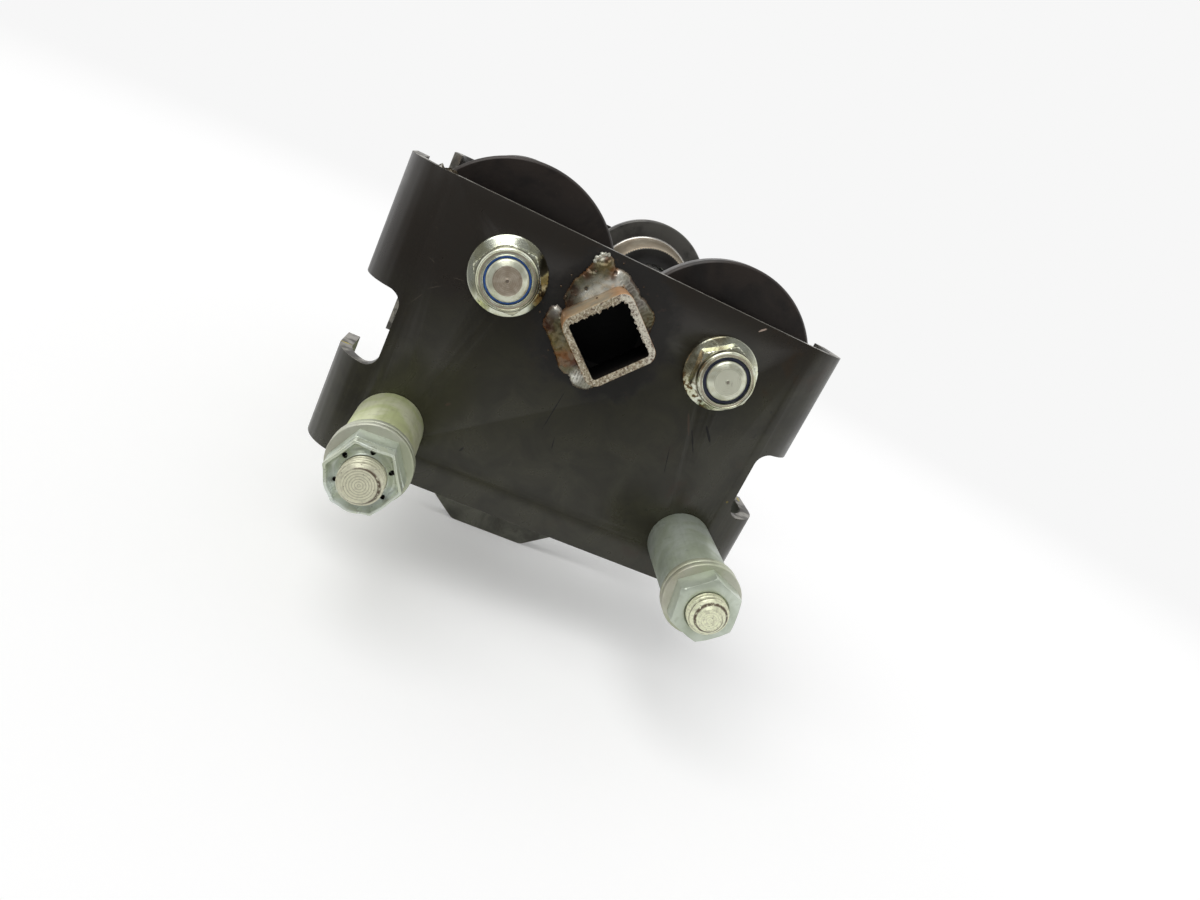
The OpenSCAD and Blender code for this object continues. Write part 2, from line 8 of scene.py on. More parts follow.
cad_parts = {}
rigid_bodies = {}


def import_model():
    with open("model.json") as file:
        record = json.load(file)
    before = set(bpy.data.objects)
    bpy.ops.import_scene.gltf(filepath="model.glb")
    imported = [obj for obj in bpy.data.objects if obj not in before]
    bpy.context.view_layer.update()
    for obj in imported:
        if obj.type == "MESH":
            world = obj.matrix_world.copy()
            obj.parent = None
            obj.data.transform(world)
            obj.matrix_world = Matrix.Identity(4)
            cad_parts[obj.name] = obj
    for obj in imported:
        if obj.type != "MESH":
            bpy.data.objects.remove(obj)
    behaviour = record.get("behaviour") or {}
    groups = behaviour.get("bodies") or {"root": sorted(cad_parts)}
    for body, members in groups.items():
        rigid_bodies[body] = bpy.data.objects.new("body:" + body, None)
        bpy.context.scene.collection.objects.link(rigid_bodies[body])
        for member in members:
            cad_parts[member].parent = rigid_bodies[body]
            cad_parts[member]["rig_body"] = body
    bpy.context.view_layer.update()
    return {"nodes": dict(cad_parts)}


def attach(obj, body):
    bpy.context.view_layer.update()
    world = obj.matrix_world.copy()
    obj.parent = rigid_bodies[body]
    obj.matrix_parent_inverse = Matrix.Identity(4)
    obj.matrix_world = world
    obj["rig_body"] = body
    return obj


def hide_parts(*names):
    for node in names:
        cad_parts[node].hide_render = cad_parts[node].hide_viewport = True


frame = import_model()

# Sizes are in millimetres and become metres where a mesh is made. X runs along the
# beam, Y across it, Z up. Front is the -Y side and left the -X side. A depth is
# counted inward from the outer face of a side plate.
MM = 0.001
FRONT, REAR = -1, 1
LEFT, RIGHT = -1, 1
SIDE_NAMES = {FRONT: "front", REAR: "rear"}
COL_NAMES = {LEFT: "left", RIGHT: "right"}
CORNERS = {(side, col): SIDE_NAMES[side] + "_" + COL_NAMES[col]
           for side in (FRONT, REAR) for col in (LEFT, RIGHT)}
OUTER_Y = 128.0
PLATE_TOP_Z = 168.0
AXLE_X, AXLE_Z = 46.5, 142.5
ROD_X, ROD_Z = 66.25, 68.0
ROD_END = {LEFT: -62.0, RIGHT: -63.5}
TUBE_X, TUBE_Z, TUBE_TURN = -4.0, 139.0, 49.0
TUBE_W, TUBE_WALL, TUBE_R, TUBE_L = 28.6, 2.6, 4.5, 20.0
CAMERA_PLACE = (-0.058633, -0.438602, 0.184686)
CAMERA_TURN = (72.1935, -25.4287, -5.6800)
CAMERA_LENS, CAMERA_SENSOR = 24.0247, 36.0


class Nodes:
    """The shader nodes of a material or of the world."""

    def __init__(self, owner):
        owner.use_nodes = True
        self.tree = owner.node_tree

    def fill(self, made, inputs):
        """Links or sets inputs of a node, by name or number. None leaves one as it is."""
        for key, value in inputs.items():
            socket = made.inputs[key]
            if isinstance(value, bpy.types.NodeSocket):
                self.tree.links.new(value, socket)
            elif value is not None:
                socket.default_value = (*value, 1.0) if socket.type == "RGBA" else value
        return made

    def node(self, kind, inputs=None, **settings):
        made = self.tree.nodes.new("ShaderNode" + kind)
        for key, value in settings.items():
            setattr(made, key, value)
        return self.fill(made, inputs or {})

    def calc(self, operation, a, b=0.0):
        return self.node("Math", {0: a, 1: b}, operation=operation).outputs[0]

    def times(self, *factors):
        product = factors[0]
        for factor in factors[1:]:
            product = self.calc("MULTIPLY", product, factor)
        return product

    def vector(self, operation, a, b=(0.0, 0.0, 0.0)):
        outputs = self.node("VectorMath", {0: a, 1: b}, operation=operation).outputs
        return outputs["Value" if operation in ("LENGTH", "DOT_PRODUCT") else "Vector"]

    def within(self, value, low, high, to_low=0.0, to_high=1.0):
        inputs = {"Value": value, "From Min": low, "From Max": high, "To Min": to_low, "To Max": to_high}
        return self.node("MapRange", inputs, interpolation_type="SMOOTHSTEP").outputs["Result"]

    def mix(self, amount, a, b):
        return self.node("Mix", {0: amount, 6: a, 7: b}, data_type="RGBA").outputs[2]

    def blend(self, amount, a, b):
        return self.node("Mix", {0: amount, 2: a, 3: b}, data_type="FLOAT").outputs[0]


class Finish(Nodes):
    """A procedural finish, worked out from places on the part in metres."""

    def __init__(self, name, metallic=0.0, specular=0.5):
        self.material = bpy.data.materials.new(name)
        super().__init__(self.material)
        self.shader = self.tree.nodes["Principled BSDF"]
        self.fill(self.shader, {"Metallic": metallic, "Specular IOR Level": specular})
        self.place = self.node("TexCoord").outputs["Object"]
        self.x, self.y, self.z = self.apart(self.place)

    def apart(self, place):
        return self.node("SeparateXYZ", {0: place}).outputs

    def measured(self, size, middle=(0, 0, 0), turn=0.0):
        """Places in a frame turned about Y, in steps of size millimetres from its middle."""
        inputs = {"Vector": self.place, "Location": [v * MM for v in middle],
                  "Rotation": (0.0, radians(turn), 0.0), "Scale": [v * MM for v in size]}
        return self.node("Mapping", inputs, vector_type="TEXTURE").outputs[0]

    def clouds(self, scale, detail=4.0, rough=0.6, place=None, bend=0.0):
        inputs = {"Vector": place or self.place, "Scale": scale, "Detail": detail,
                  "Roughness": rough, "Distortion": bend}
        return self.node("TexNoise", inputs).outputs["Fac"]

    def lines(self, value, scale, detail=3.0):
        """Uneven lines across one running value."""
        inputs = {"W": value, "Scale": scale, "Detail": detail}
        return self.node("TexNoise", inputs, noise_dimensions="1D").outputs["Fac"]

    def spots(self, scale, low, high, amount=1.0, detail=4.0, rough=0.6, bend=0.0):
        """A mask of cloudy spots, from 0 below low to amount above high."""
        return self.within(self.clouds(scale, detail, rough, bend=bend), low, high, 0.0, amount)

    def band(self, value, start, low, high, end):
        """A mask that rises from start to low and falls from high to end."""
        return self.times(self.within(value, start, low), self.within(value, end, high))

    def mark(self, middle, size, turn):
        """A ragged mark round a place, with its half lengths along X, Y and Z."""
        away = self.vector("LENGTH", self.measured(size, middle, turn))
        wander = self.times(self.calc("SUBTRACT", self.clouds(700.0, 3.0), 0.5), 1.4)
        return self.within(self.calc("ADD", away, wander), 1.0, 0.7)

    def coats(self, color, *layers):
        """Lays tints over a color one after another, each through its own mask."""
        for mask, tint in layers:
            color = self.mix(mask, color, tint)
        return color

    def relief(self, height, depth, under=None):
        inputs = {"Strength": 1.0, "Distance": depth * MM, "Height": height, "Normal": under}
        return self.node("Bump", inputs).outputs["Normal"]

    def edges(self, radius, amount=1.0):
        """How close a place is to a sharp edge, from 0 to amount."""
        rounded = self.node("Bevel", {"Radius": radius * MM}, samples=6).outputs["Normal"]
        true = self.node("NewGeometry").outputs["Normal"]
        off = self.calc("SUBTRACT", 1.0, self.vector("DOT_PRODUCT", rounded, true))
        return self.within(off, 0.03, 0.2, 0.0, amount)

    def from_axis(self, x, z, place=None):
        """Distance in metres from an axis along Y."""
        off = self.vector("SUBTRACT", place or self.place, (x * MM, 0, z * MM))
        return self.vector("LENGTH", self.vector("MULTIPLY", off, (1, 0, 1)))

    def radius(self, x, z):
        """Distance in metres from the nearer of both axes at plus and minus x."""
        return self.from_axis(x, z, self.vector("ABSOLUTE", self.place))

    def across_tube(self):
        """Millimetres across the square tube from its middle."""
        return self.apart(self.measured((1.0, 1.0, 1.0), (TUBE_X, 0.0, TUBE_Z), -TUBE_TURN))["X"]

    def toward(self, col, x, z, angle, start, full):
        """A mask on the outer front side of one axis along Y, rising toward an angle from +X to +Z."""
        off = self.vector("SUBTRACT", self.place, (col * x * MM, 0, z * MM))
        along = self.vector("DOT_PRODUCT", off, (cos(radians(angle)), 0, sin(radians(angle))))
        here = self.within(self.times(self.x, col), -0.001, 0.001)
        return self.times(self.within(along, start * MM, full * MM), here, self.within(self.y, 0.0, -0.05))

    def done(self, color, roughness, normal=None, metallic=None):
        self.fill(self.shader, {"Base Color": color, "Roughness": roughness, "Normal": normal,
                                "Metallic": metallic})
        return self.material


# Marks on the front plate and its cut edges: place, half lengths, turn, tint
PALE, TAN, CLAY, INK = (0.62, 0.58, 0.5), (0.33, 0.24, 0.15), (0.05, 0.033, 0.02), (0.004, 0.0035, 0.003)
FAINT, YELLOW, PINK, OCHRE = (0.05, 0.04, 0.028), (0.5, 0.4, 0.04), (0.34, 0.26, 0.21), (0.13, 0.1, 0.02)
FRONT_MARKS = [
    ((-92.3, -125.0, 168.2), (1.3, 3.0, 0.9), 0.0, PALE), ((-92.5, -128.0, 166.9), (0.9, 1.5, 0.6), 0.0, TAN),
] + [((x, -OUTER_Y, z), (half_x, 1.0, half_z), turn, tint) for x, z, half_x, half_z, turn, tint in (
    (54.2, 165.4, 2.0, 0.45, -42.0, PINK), (77.0, 93.3, 0.5, 0.6, 30.0, OCHRE),
    (-74.6, 120.2, 3.6, 0.14, -60.0, FAINT), (-70.0, 127.0, 3.0, 0.14, -35.0, FAINT),
    (-62.5, 133.6, 2.6, 0.13, -8.0, FAINT), (-74.5, 136.0, 2.0, 0.12, 20.0, FAINT),
    (-8.6, 101.0, 9.5, 0.28, 96.0, INK), (-3.0, 88.0, 3.0, 0.22, 80.0, INK),
    (44.0, 100.0, 7.0, 0.2, 75.0, INK), (50.0, 112.0, 6.0, 0.35, 60.0, INK),
    (55.0, 117.0, 5.0, 0.6, 50.0, INK), (45.0, 118.0, 5.0, 0.5, 62.0, CLAY),
    (-36.0, 70.5, 0.5, 1.4, 30.0, INK), (-48.0, 86.0, 0.6, 1.6, 50.0, CLAY),
)]
EDGE_MARKS = [
    ((-94.8, -108.4, 87.5), (2.8, 0.55, 1.0), 0.0, YELLOW),
    ((94.8, -96.8, 87.5), (0.6, 2.8, 1.0), 0.0, YELLOW),
]


def painted(f, color, rough, marks):
    """Lays ragged marks over a color and makes them duller."""
    for middle, size, turn, tint in marks:
        mask = f.mark(middle, size, turn)
        color = f.mix(mask, color, tint)
        rough = f.blend(mask, rough, 0.6)
    return color, rough


def black_paint(name, film_and_sheen_tint, welded=False, marks=()):
    """Thin satin black paint: brownish high up, with a lighter film of oil lower and to the right that is
    also a painted sheen.
    """
    f = Finish(name)
    lower = f.calc("SUBTRACT", f.times(f.x, 0.35), f.z)
    wander = f.times(f.calc("SUBTRACT", f.clouds(26.0, 5.0, bend=0.8), 0.5), 0.1)
    # Oil film and painted sheen: a lighter tint lower down and to the right.
    oil_and_sheen = f.within(f.calc("ADD", lower, wander), -0.162, -0.105)
    patch = f.spots(55.0, 0.36, 0.68, detail=5.0, bend=0.7)
    right = f.within(f.calc("SUBTRACT", f.x, f.times(f.z, 0.3)), -0.03, 0.03)
    color = f.coats(
        (0.0205, 0.0165, 0.0127), (oil_and_sheen, film_and_sheen_tint),
        (f.times(patch, f.blend(oil_and_sheen, 0.25, 0.6)), (0.0125, 0.011, 0.0068)),
        (f.times(f.spots(75.0, 0.55, 0.72, 0.7, 5.0, 0.7, 0.6), right), (0.028, 0.018, 0.009)),
        (f.spots(420.0, 0.66, 0.76, 0.3, 3.0), (0.05, 0.043, 0.03)),
        (f.times(f.spots(260.0, 0.66, 0.74, 0.7), right), (0.006, 0.005, 0.004)))
    rough = f.blend(patch, 0.27, 0.35)
    if welded:
        away = f.from_axis(TUBE_X, TUBE_Z)
        wander = f.times(f.calc("SUBTRACT", f.clouds(95.0, 5.0), 0.5), 0.022)
        scorched = f.within(f.calc("ADD", away, wander), 0.033, 0.025, 0.0, 0.85)
        rust = f.times(scorched, f.spots(330.0, 0.6, 0.7, 0.7))
        # Painted shade: the plate seen down the tube's bore is near black.
        bore_shade = f.within(away, 0.0142, 0.0135)
        color = f.coats(color, (scorched, (0.006, 0.0052, 0.0045)), (rust, (0.04, 0.022, 0.014)),
                        (bore_shade, (0.001, 0.001, 0.001)))
        rough = f.blend(bore_shade, f.blend(scorched, rough, 0.62), 0.95)
    color, rough = painted(f, color, rough, marks)
    normal = f.relief(f.clouds(300.0, 3.0, 0.5), 0.012)
    return f.done(color, rough, f.relief(f.clouds(26.0, 3.0, 0.5), 0.16, normal))


def cut_edge(name, marks=()):
    """The sheet's cut faces: grey steel with a thin film of paint and fine drag lines."""
    f = Finish(name)
    bare = f.spots(150.0, 0.4, 0.6)
    color = f.coats((0.07, 0.064, 0.055), (bare, (0.3, 0.285, 0.25)),
                    (f.spots(60.0, 0.6, 0.75), (0.14, 0.11, 0.08)))
    color, rough = painted(f, color, f.blend(bare, 0.55, 0.4), marks)
    streaks = f.clouds(1.0, 3.0, place=f.measured((1.6, 14.0, 1.6)))
    return f.done(color, rough, f.relief(streaks, 0.04), f.times(bare, 0.6))


def worn_arris():
    """Rubbed arrises of the sheet: a thin line of bare steel with breaks of paint."""
    f = Finish("worn_arris")
    kept = f.spots(120.0, 0.6, 0.72, 0.75, 5.0, 0.7)
    color = f.mix(kept, (0.29, 0.273, 0.24), (0.05, 0.043, 0.035))
    return f.done(color, 0.42, f.relief(f.clouds(900.0), 0.01), f.calc("SUBTRACT", 0.6, f.times(kept, 0.8)))


def zinc(name, pale, tinted, dark, rough, metallic=0.35, grime=0.5, rim=0.75):
    """Passivated zinc, cloudy from grey to green and yellow, with dull and dirty spots, and a painted
    highlight along its sharp edges.
    """
    f = Finish(name, metallic=metallic)
    dirt = f.spots(210.0, 0.69, 0.76, grime, 5.0, 0.7)
    color = f.coats(
        pale, (f.spots(80.0, 0.38, 0.62, 1.0, 5.0, 0.6, 0.6), tinted),
        (f.spots(30.0, 0.52, 0.74, 0.5, 3.0), dark), (f.spots(430.0, 0.56, 0.74, 0.35), dark),
        (dirt, (0.15, 0.095, 0.055)),
        # Painted highlight: a much lighter tint along the sharp edges, as strong as rim.
        (f.edges(0.35, amount=rim), [min(1.0, v * 2.0) for v in pale]))
    rough = f.blend(f.spots(240.0, 0.35, 0.7), rough, rough + 0.14)
    return f.done(color, f.blend(dirt, rough, 0.7), f.relief(f.clouds(420.0, 5.0), 0.018))


def lock_nut_zinc():
    """Bright zinc of the axle nuts: brown on the flat ring, sooty at the weld, oily and rusty right, with a
    painted highlight on the edges.
    """
    f = Finish("lock_nut_zinc", metallic=0.85)
    away = f.radius(AXLE_X, AXLE_Z)
    ring = f.band(away, 0.00985, 0.01, 0.0104, 0.0107)
    groove = f.band(away, 0.0117, 0.0118, 0.01195, 0.0121)
    soot = f.toward(LEFT, AXLE_X, AXLE_Z, 14.0, 8.0, 12.0)
    oil = f.toward(RIGHT, AXLE_X, AXLE_Z, 158.0, 5.0, 11.5)
    rusty = f.toward(RIGHT, AXLE_X, AXLE_Z, 235.0, 9.0, 13.0)
    burnt = f.mix(f.spots(190.0, 0.5, 0.58, 1.0, 3.0), (0.035, 0.03, 0.017), (0.3, 0.26, 0.12))
    color = f.coats(
        (0.86, 0.89, 0.74), (f.spots(90.0, 0.42, 0.6, 0.9, 5.0, 0.6, 0.8), (0.66, 0.66, 0.46)),
        (f.spots(60.0, 0.5, 0.66, 0.7, 5.0, 0.6, 1.0), (0.4, 0.38, 0.24)),
        (f.times(ring, 0.75), (0.42, 0.34, 0.26)), (f.times(groove, 0.7), (0.14, 0.12, 0.07)),
        (f.times(soot, f.spots(150.0, 0.3, 0.44)), burnt),
        (f.times(oil, f.spots(110.0, 0.34, 0.56, 0.85, bend=0.8)), (0.2, 0.165, 0.09)),
        (f.times(rusty, f.spots(520.0, 0.48, 0.56)), (0.12, 0.075, 0.03)),
        (f.spots(300.0, 0.66, 0.73, 0.6, 5.0, 0.7), (0.2, 0.16, 0.09)),
        # Painted highlight: near white along the sharp edges.
        (f.edges(0.35, amount=0.8), (0.97, 0.98, 0.9)))
    rough = f.blend(f.spots(150.0, 0.4, 0.7), 0.14, 0.24)
    return f.done(color, f.blend(ring, rough, 0.42), f.relief(f.clouds(130.0, 3.0), 0.05))


# Step of the turned rings on the rod ends and on the axle studs, then the shape of the rod ends
RING_STEP, STUD_RING = 0.93, 0.7
FACE_R, CHAMFER_SLOPE = {LEFT: 5.9, RIGHT: 4.5}, {LEFT: 1.4, RIGHT: 1.15}
THREAD_R, THREAD_PITCH, THREAD_DEPTH, THREAD_LENGTH = 8.0, 2.0, 1.2, 15.0


def rod_thread():
    """Rod ends: pale crests, brown dirt in the thread's roots, turned rings on the end with painted shade in
    their valleys.
    """
    f = Finish("rod_thread", metallic=0.4)
    away = f.radius(ROD_X, ROD_Z)
    fine = f.clouds(700.0, 5.0)
    right = f.within(f.x, -0.001, 0.001)
    rim = f.blend(right, FACE_R[LEFT] * MM, FACE_R[RIGHT] * MM)
    face = f.within(away, f.calc("ADD", rim, 0.0001), f.calc("SUBTRACT", rim, 0.0001))
    x = f.calc("SUBTRACT", f.x, f.blend(right, -ROD_X * MM, ROD_X * MM))
    angle = f.calc("ARCTAN2", x, f.calc("SUBTRACT", f.z, ROD_Z * MM))
    angle = f.times(angle, f.calc("SIGN", f.y), 1 / (2 * pi))
    depth = f.calc("SUBTRACT", OUTER_Y * MM, f.calc("ABSOLUTE", f.y))
    turn = f.calc("FRACT", f.calc("ADD", f.times(depth, 1000.0 / THREAD_PITCH), angle))
    root = f.within(f.calc("ABSOLUTE", f.calc("SUBTRACT", turn, 0.5)), 0.2, 0.42)
    dirty = f.times(root, f.calc("SUBTRACT", 1.0, face), f.within(depth, -0.045, -0.05))
    # Painted shade: the valleys of the turned rings on the end face are darker.
    ring = f.within(f.calc("PINGPONG", away, RING_STEP / 2 * MM), 0.0003, RING_STEP / 2 * MM)
    color = f.coats(
        f.mix(right, (0.72, 0.71, 0.53), (0.9, 0.92, 0.66)),
        (f.within(fine, 0.4, 0.75, 0.0, 0.7), (0.46, 0.44, 0.33)),
        (f.times(face, ring, f.blend(right, 0.75, 0.3)), (0.22, 0.2, 0.13)),
        (f.times(dirty, f.within(fine, 0.3, 0.5)), (0.1, 0.072, 0.045)),
        (f.spots(900.0, 0.62, 0.68, 0.85, rough=0.7), (0.06, 0.04, 0.025)))
    metallic = f.calc("SUBTRACT", 0.4, f.times(dirty, 0.35))
    return f.done(color, f.blend(dirty, 0.36, 0.75), f.relief(fine, 0.02), metallic)


def axle_steel():
    """Axles: turned steel; the left stud's end is stained pinkish brown, the right one is greenish grey."""
    f = Finish("axle_steel", metallic=0.55)
    away = f.radius(AXLE_X, AXLE_Z)
    fine = f.clouds(420.0, 5.0)
    face = f.within(away, 0.0057, 0.0053)
    # Painted shade: the valleys of the turned rings on the stud's end are darker.
    cut = f.within(f.calc("PINGPONG", away, STUD_RING / 2 * MM), 0.00022, STUD_RING / 2 * MM, 0.0, 0.45)
    brown = f.mix(f.within(fine, 0.3, 0.65), (0.46, 0.38, 0.3), (0.3, 0.23, 0.17))
    color = f.coats(
        (0.74, 0.76, 0.62), (f.within(fine, 0.35, 0.7), (0.58, 0.58, 0.44)),
        (f.times(face, 0.85), f.mix(f.within(f.x, 0.01, -0.01), (0.6, 0.61, 0.49), brown)),
        (f.times(face, f.spots(800.0, 0.62, 0.7, 0.6)), (0.1, 0.07, 0.05)),
        (f.times(face, cut), (0.2, 0.17, 0.13)),
        (f.within(away, 0.0008, 0.0006, 0.0, 0.7), (0.1, 0.075, 0.055)))
    return f.done(color, f.blend(face, 0.26, 0.42), f.relief(f.lines(away, 3000.0, 4.0), 0.03))


def wheel_face(name, inner, outer):
    """Flange faces and bore of a wheel: dark oiled turned steel."""
    f = Finish(name, metallic=0.3)
    away = f.radius(AXLE_X, AXLE_Z)
    fine = f.clouds(520.0, 5.0)
    color = f.coats(
        inner, (f.within(away, 0.018, 0.043), outer),
        (f.spots(55.0, 0.42, 0.68, 0.8, 5.0, bend=0.5), (0.0125, 0.011, 0.0105)),
        (f.times(f.within(fine, 0.6, 0.75), 0.3), (0.06, 0.048, 0.04)),
        # Lighter edges: partly worn steel, partly a painted highlight.
        (f.times(f.edges(0.6), f.within(fine, 0.3, 0.5)), (0.36, 0.31, 0.27)))
    normal = f.relief(f.lines(away, 2300.0, 4.0), 0.02)
    return f.done(color, f.blend(f.spots(60.0, 0.4, 0.7), 0.36, 0.48), f.relief(fine, 0.01, normal))


def wheel_tread():
    """Tread: turned steel with a tan film, and a light band at its fillet that is partly polish and partly a
    painted highlight.
    """
    f = Finish("wheel_tread", metallic=0.7)
    fine = f.clouds(600.0)
    # Light band at the fillet: partly real polish, partly a painted highlight.
    polish_and_highlight = f.within(f.radius(AXLE_X, AXLE_Z), 0.0314, 0.0322)
    color = f.coats(
        (0.34, 0.28, 0.2), (f.spots(70.0, 0.35, 0.65, detail=5.0), (0.43, 0.38, 0.29)),
        (f.times(f.within(fine, 0.55, 0.75), 0.45), (0.18, 0.13, 0.09)), (polish_and_highlight, (0.78, 0.75, 0.7)))
    normal = f.relief(f.lines(f.y, 2600.0), 0.03)
    return f.done(color, f.blend(polish_and_highlight, 0.4, 0.22), f.relief(fine, 0.012, normal))


def bearing_steel():
    f = Finish("bearing_steel", metallic=0.95)
    grease = f.spots(180.0, 0.55, 0.72)
    color = f.coats((0.56, 0.56, 0.56), (f.spots(800.0, 0.4, 0.7), (0.48, 0.47, 0.45)),
                    (f.times(grease, 0.7), (0.16, 0.12, 0.07)))
    turned_lines = f.relief(f.lines(f.radius(AXLE_X, AXLE_Z), 3800.0), 0.008)
    return f.done(color, f.blend(grease, 0.2, 0.45), turned_lines)


def spring_steel():
    f = Finish("spring_steel", metallic=0.7)
    fine = f.clouds(700.0)
    color = f.coats((0.035, 0.034, 0.034), (f.within(fine, 0.4, 0.7), (0.075, 0.07, 0.066)),
                    (f.times(f.edges(0.25), f.within(fine, 0.4, 0.6)), (0.4, 0.38, 0.35)))
    return f.done(color, f.blend(f.within(fine, 0.35, 0.7), 0.32, 0.5), f.relief(fine, 0.015))


def nylon(name, deep, light):
    f = Finish(name)
    fine = f.clouds(500.0)
    color = f.coats(deep, (f.within(fine, 0.35, 0.7), light),
                    (f.spots(240.0, 0.62, 0.74, 0.25, 5.0, 0.7), (0.3, 0.29, 0.26)))
    turned_lines = f.relief(f.lines(f.radius(AXLE_X, AXLE_Z), 2500.0), 0.015)
    return f.done(color, f.blend(f.within(fine, 0.4, 0.7), 0.34, 0.5), turned_lines)


def tube_steel():
    """Sides of the square tube: tan and grey heat colours, orange at the corners, scale at the root."""
    f = Finish("tube_steel", metallic=0.4)
    off = f.calc("ABSOLUTE", f.calc("ADD", f.across_tube(), 1.0))
    root = f.within(f.y, -(OUTER_Y + 6.0) * MM, -(OUTER_Y + 2.0) * MM, 0.0, 0.45)
    color = f.coats(
        (0.5, 0.375, 0.23), (f.within(f.clouds(85.0, 6.0, 0.65, bend=0.8), 0.4, 0.62), (0.36, 0.31, 0.225)),
        (f.within(off, 6.0, 12.5, 0.0, 0.8), (0.5, 0.25, 0.1)), (root, (0.28, 0.13, 0.05)),
        (f.spots(700.0, 0.6, 0.75, 0.6, 5.0), (0.09, 0.05, 0.03)))
    return f.done(color, f.blend(f.spots(300.0, 0.35, 0.7), 0.36, 0.55), f.relief(f.clouds(360.0, 6.0), 0.05))


def saw_cut():
    """The tube's cut face: pale tan steel torn by a coarse disc, with dark red-brown specks."""
    f = Finish("saw_cut", metallic=0.25)
    fine = f.clouds(1300.0, 5.0, 0.75)
    color = f.coats(
        (0.43, 0.375, 0.26), (f.spots(420.0, 0.4, 0.62, detail=5.0), (0.28, 0.24, 0.155)),
        (f.within(f.across_tube(), 7.0, 12.5, 0.0, 0.8), (0.68, 0.65, 0.55)),
        (f.within(fine, 0.52, 0.58, 0.0, 0.8), (0.12, 0.06, 0.035)),
        (f.within(fine, 0.46, 0.4, 0.0, 0.75), (0.76, 0.71, 0.58)),
        (f.spots(600.0, 0.6, 0.66, 0.8, 3.0), (0.09, 0.05, 0.035)))
    grain = f.clouds(1.0, 3.0, place=f.measured((3.0, 3.0, 0.5), turn=-15.0))
    normal = f.relief(fine, 0.12, f.relief(grain, 0.06))
    return f.done(color, f.blend(f.within(fine, 0.3, 0.7), 0.4, 0.6), normal)


def tube_inside():
    # Painted shade: the inside of the tube is near black, darker still deeper in.
    f = Finish("tube_inside", metallic=0.1, specular=0.2)
    fine = f.clouds(500.0, 5.0, 0.7)
    deep = f.within(f.y, -(OUTER_Y + TUBE_L) * MM, -(OUTER_Y + TUBE_L - 9.0) * MM)
    color = f.coats((0.012, 0.01, 0.009), (f.within(fine, 0.4, 0.7), (0.03, 0.022, 0.016)),
                    (deep, (0.003, 0.0027, 0.0025)))
    return f.done(color, 0.7, f.relief(fine, 0.06))


def weld_metal():
    """Weld metal, tinted along its run by an attribute, glossy under a thin skin of slag."""
    f = Finish("weld_metal", metallic=0.45)
    fine = f.clouds(700.0, 6.0, 0.68)
    color = f.coats(
        f.node("Attribute", attribute_name="tint").outputs["Color"],
        (f.spots(200.0, 0.48, 0.62, 0.4, 5.0, bend=0.8), (0.2, 0.19, 0.14)),
        (f.times(f.within(fine, 0.6, 0.72), 0.6), (0.06, 0.03, 0.02)))
    rough = f.blend(f.spots(170.0, 0.35, 0.65), 0.14, 0.32)
    return f.done(color, f.blend(f.within(fine, 0.55, 0.75), rough, 0.6), f.relief(fine, 0.03))


def burnt_burr():
    """The crumpled burr on the plate's top edge: a painted highlight at the left, dark and tan at the right.
    """
    f = Finish("burnt_burr", metallic=0.3)
    fine = f.clouds(900.0, 5.0)
    # Painted highlight: the left end is near white.
    color = f.coats((0.7, 0.69, 0.62), (f.within(f.x, -0.0842, -0.0832), (0.16, 0.13, 0.085)),
                    (f.within(fine, 0.48, 0.62, 0.0, 0.8), (0.05, 0.035, 0.025)))
    return f.done(color, 0.36, f.relief(fine, 0.04))


# The suspension plates take the same paint with a much lighter grey in place of the olive: film and painted
# sheen.
OLIVE_FILM_AND_SHEEN, GREY_FILM_AND_SHEEN = (0.032, 0.0305, 0.0178), (0.17, 0.17, 0.137)
PAINT = black_paint("plate_paint", OLIVE_FILM_AND_SHEEN)
HANGER_PAINT = black_paint("suspension_paint", GREY_FILM_AND_SHEEN)
FRONT_PAINT = black_paint("front_plate_paint", OLIVE_FILM_AND_SHEEN, True, FRONT_MARKS)
CUT = cut_edge("cut_edge")
FRONT_CUT = cut_edge("front_cut_edge", EDGE_MARKS)
ARRIS = worn_arris()
LEFT_ZINC = zinc("left_zinc", (0.7, 0.72, 0.5), (0.58, 0.63, 0.33), (0.34, 0.33, 0.22), 0.4)
RIGHT_ZINC = zinc("right_zinc", (0.42, 0.46, 0.4), (0.33, 0.37, 0.28), (0.17, 0.19, 0.17), 0.36)
SPACER_ZINC = {LEFT: LEFT_ZINC, RIGHT: RIGHT_ZINC}
WASHER_ZINC = zinc("washer_zinc", (0.56, 0.57, 0.47), (0.47, 0.5, 0.36), (0.34, 0.29, 0.22), 0.36, 0.45)
NUT_ZINC = zinc("nut_zinc", (0.66, 0.72, 0.62), (0.54, 0.6, 0.49), (0.34, 0.38, 0.28), 0.28, 0.5, 0.35)
CUP_ZINC = zinc("cup_zinc", (0.74, 0.8, 0.74), (0.62, 0.67, 0.52), (0.36, 0.36, 0.27), 0.26, 0.4, 0.3, 0.95)
LOCK_ZINC = lock_nut_zinc()
THREAD = rod_thread()
AXLE = axle_steel()
# Two copies of one finish that differ in painted light and shade: the far wheels' copy is much lighter toward
# the rim and darker near the hub.
WHEELS = {FRONT: wheel_face("wheel_face", (0.018, 0.0147, 0.013), (0.033, 0.025, 0.0205)),
          REAR: wheel_face("far_wheel_face_painted_light", (0.011, 0.0105, 0.0095), (0.1, 0.096, 0.086))}
TREAD = wheel_tread()
BEARING = bearing_steel()
SPRING = spring_steel()
BLUE_NYLON = nylon("blue_nylon", (0.03, 0.1, 0.4), (0.05, 0.17, 0.55))
DARK_NYLON = nylon("dark_nylon", (0.008, 0.01, 0.03), (0.018, 0.022, 0.06))
TUBE = tube_steel()
SAW_CUT = saw_cut()
TUBE_INSIDE = tube_inside()
WELD = weld_metal()
BURR = burnt_burr()


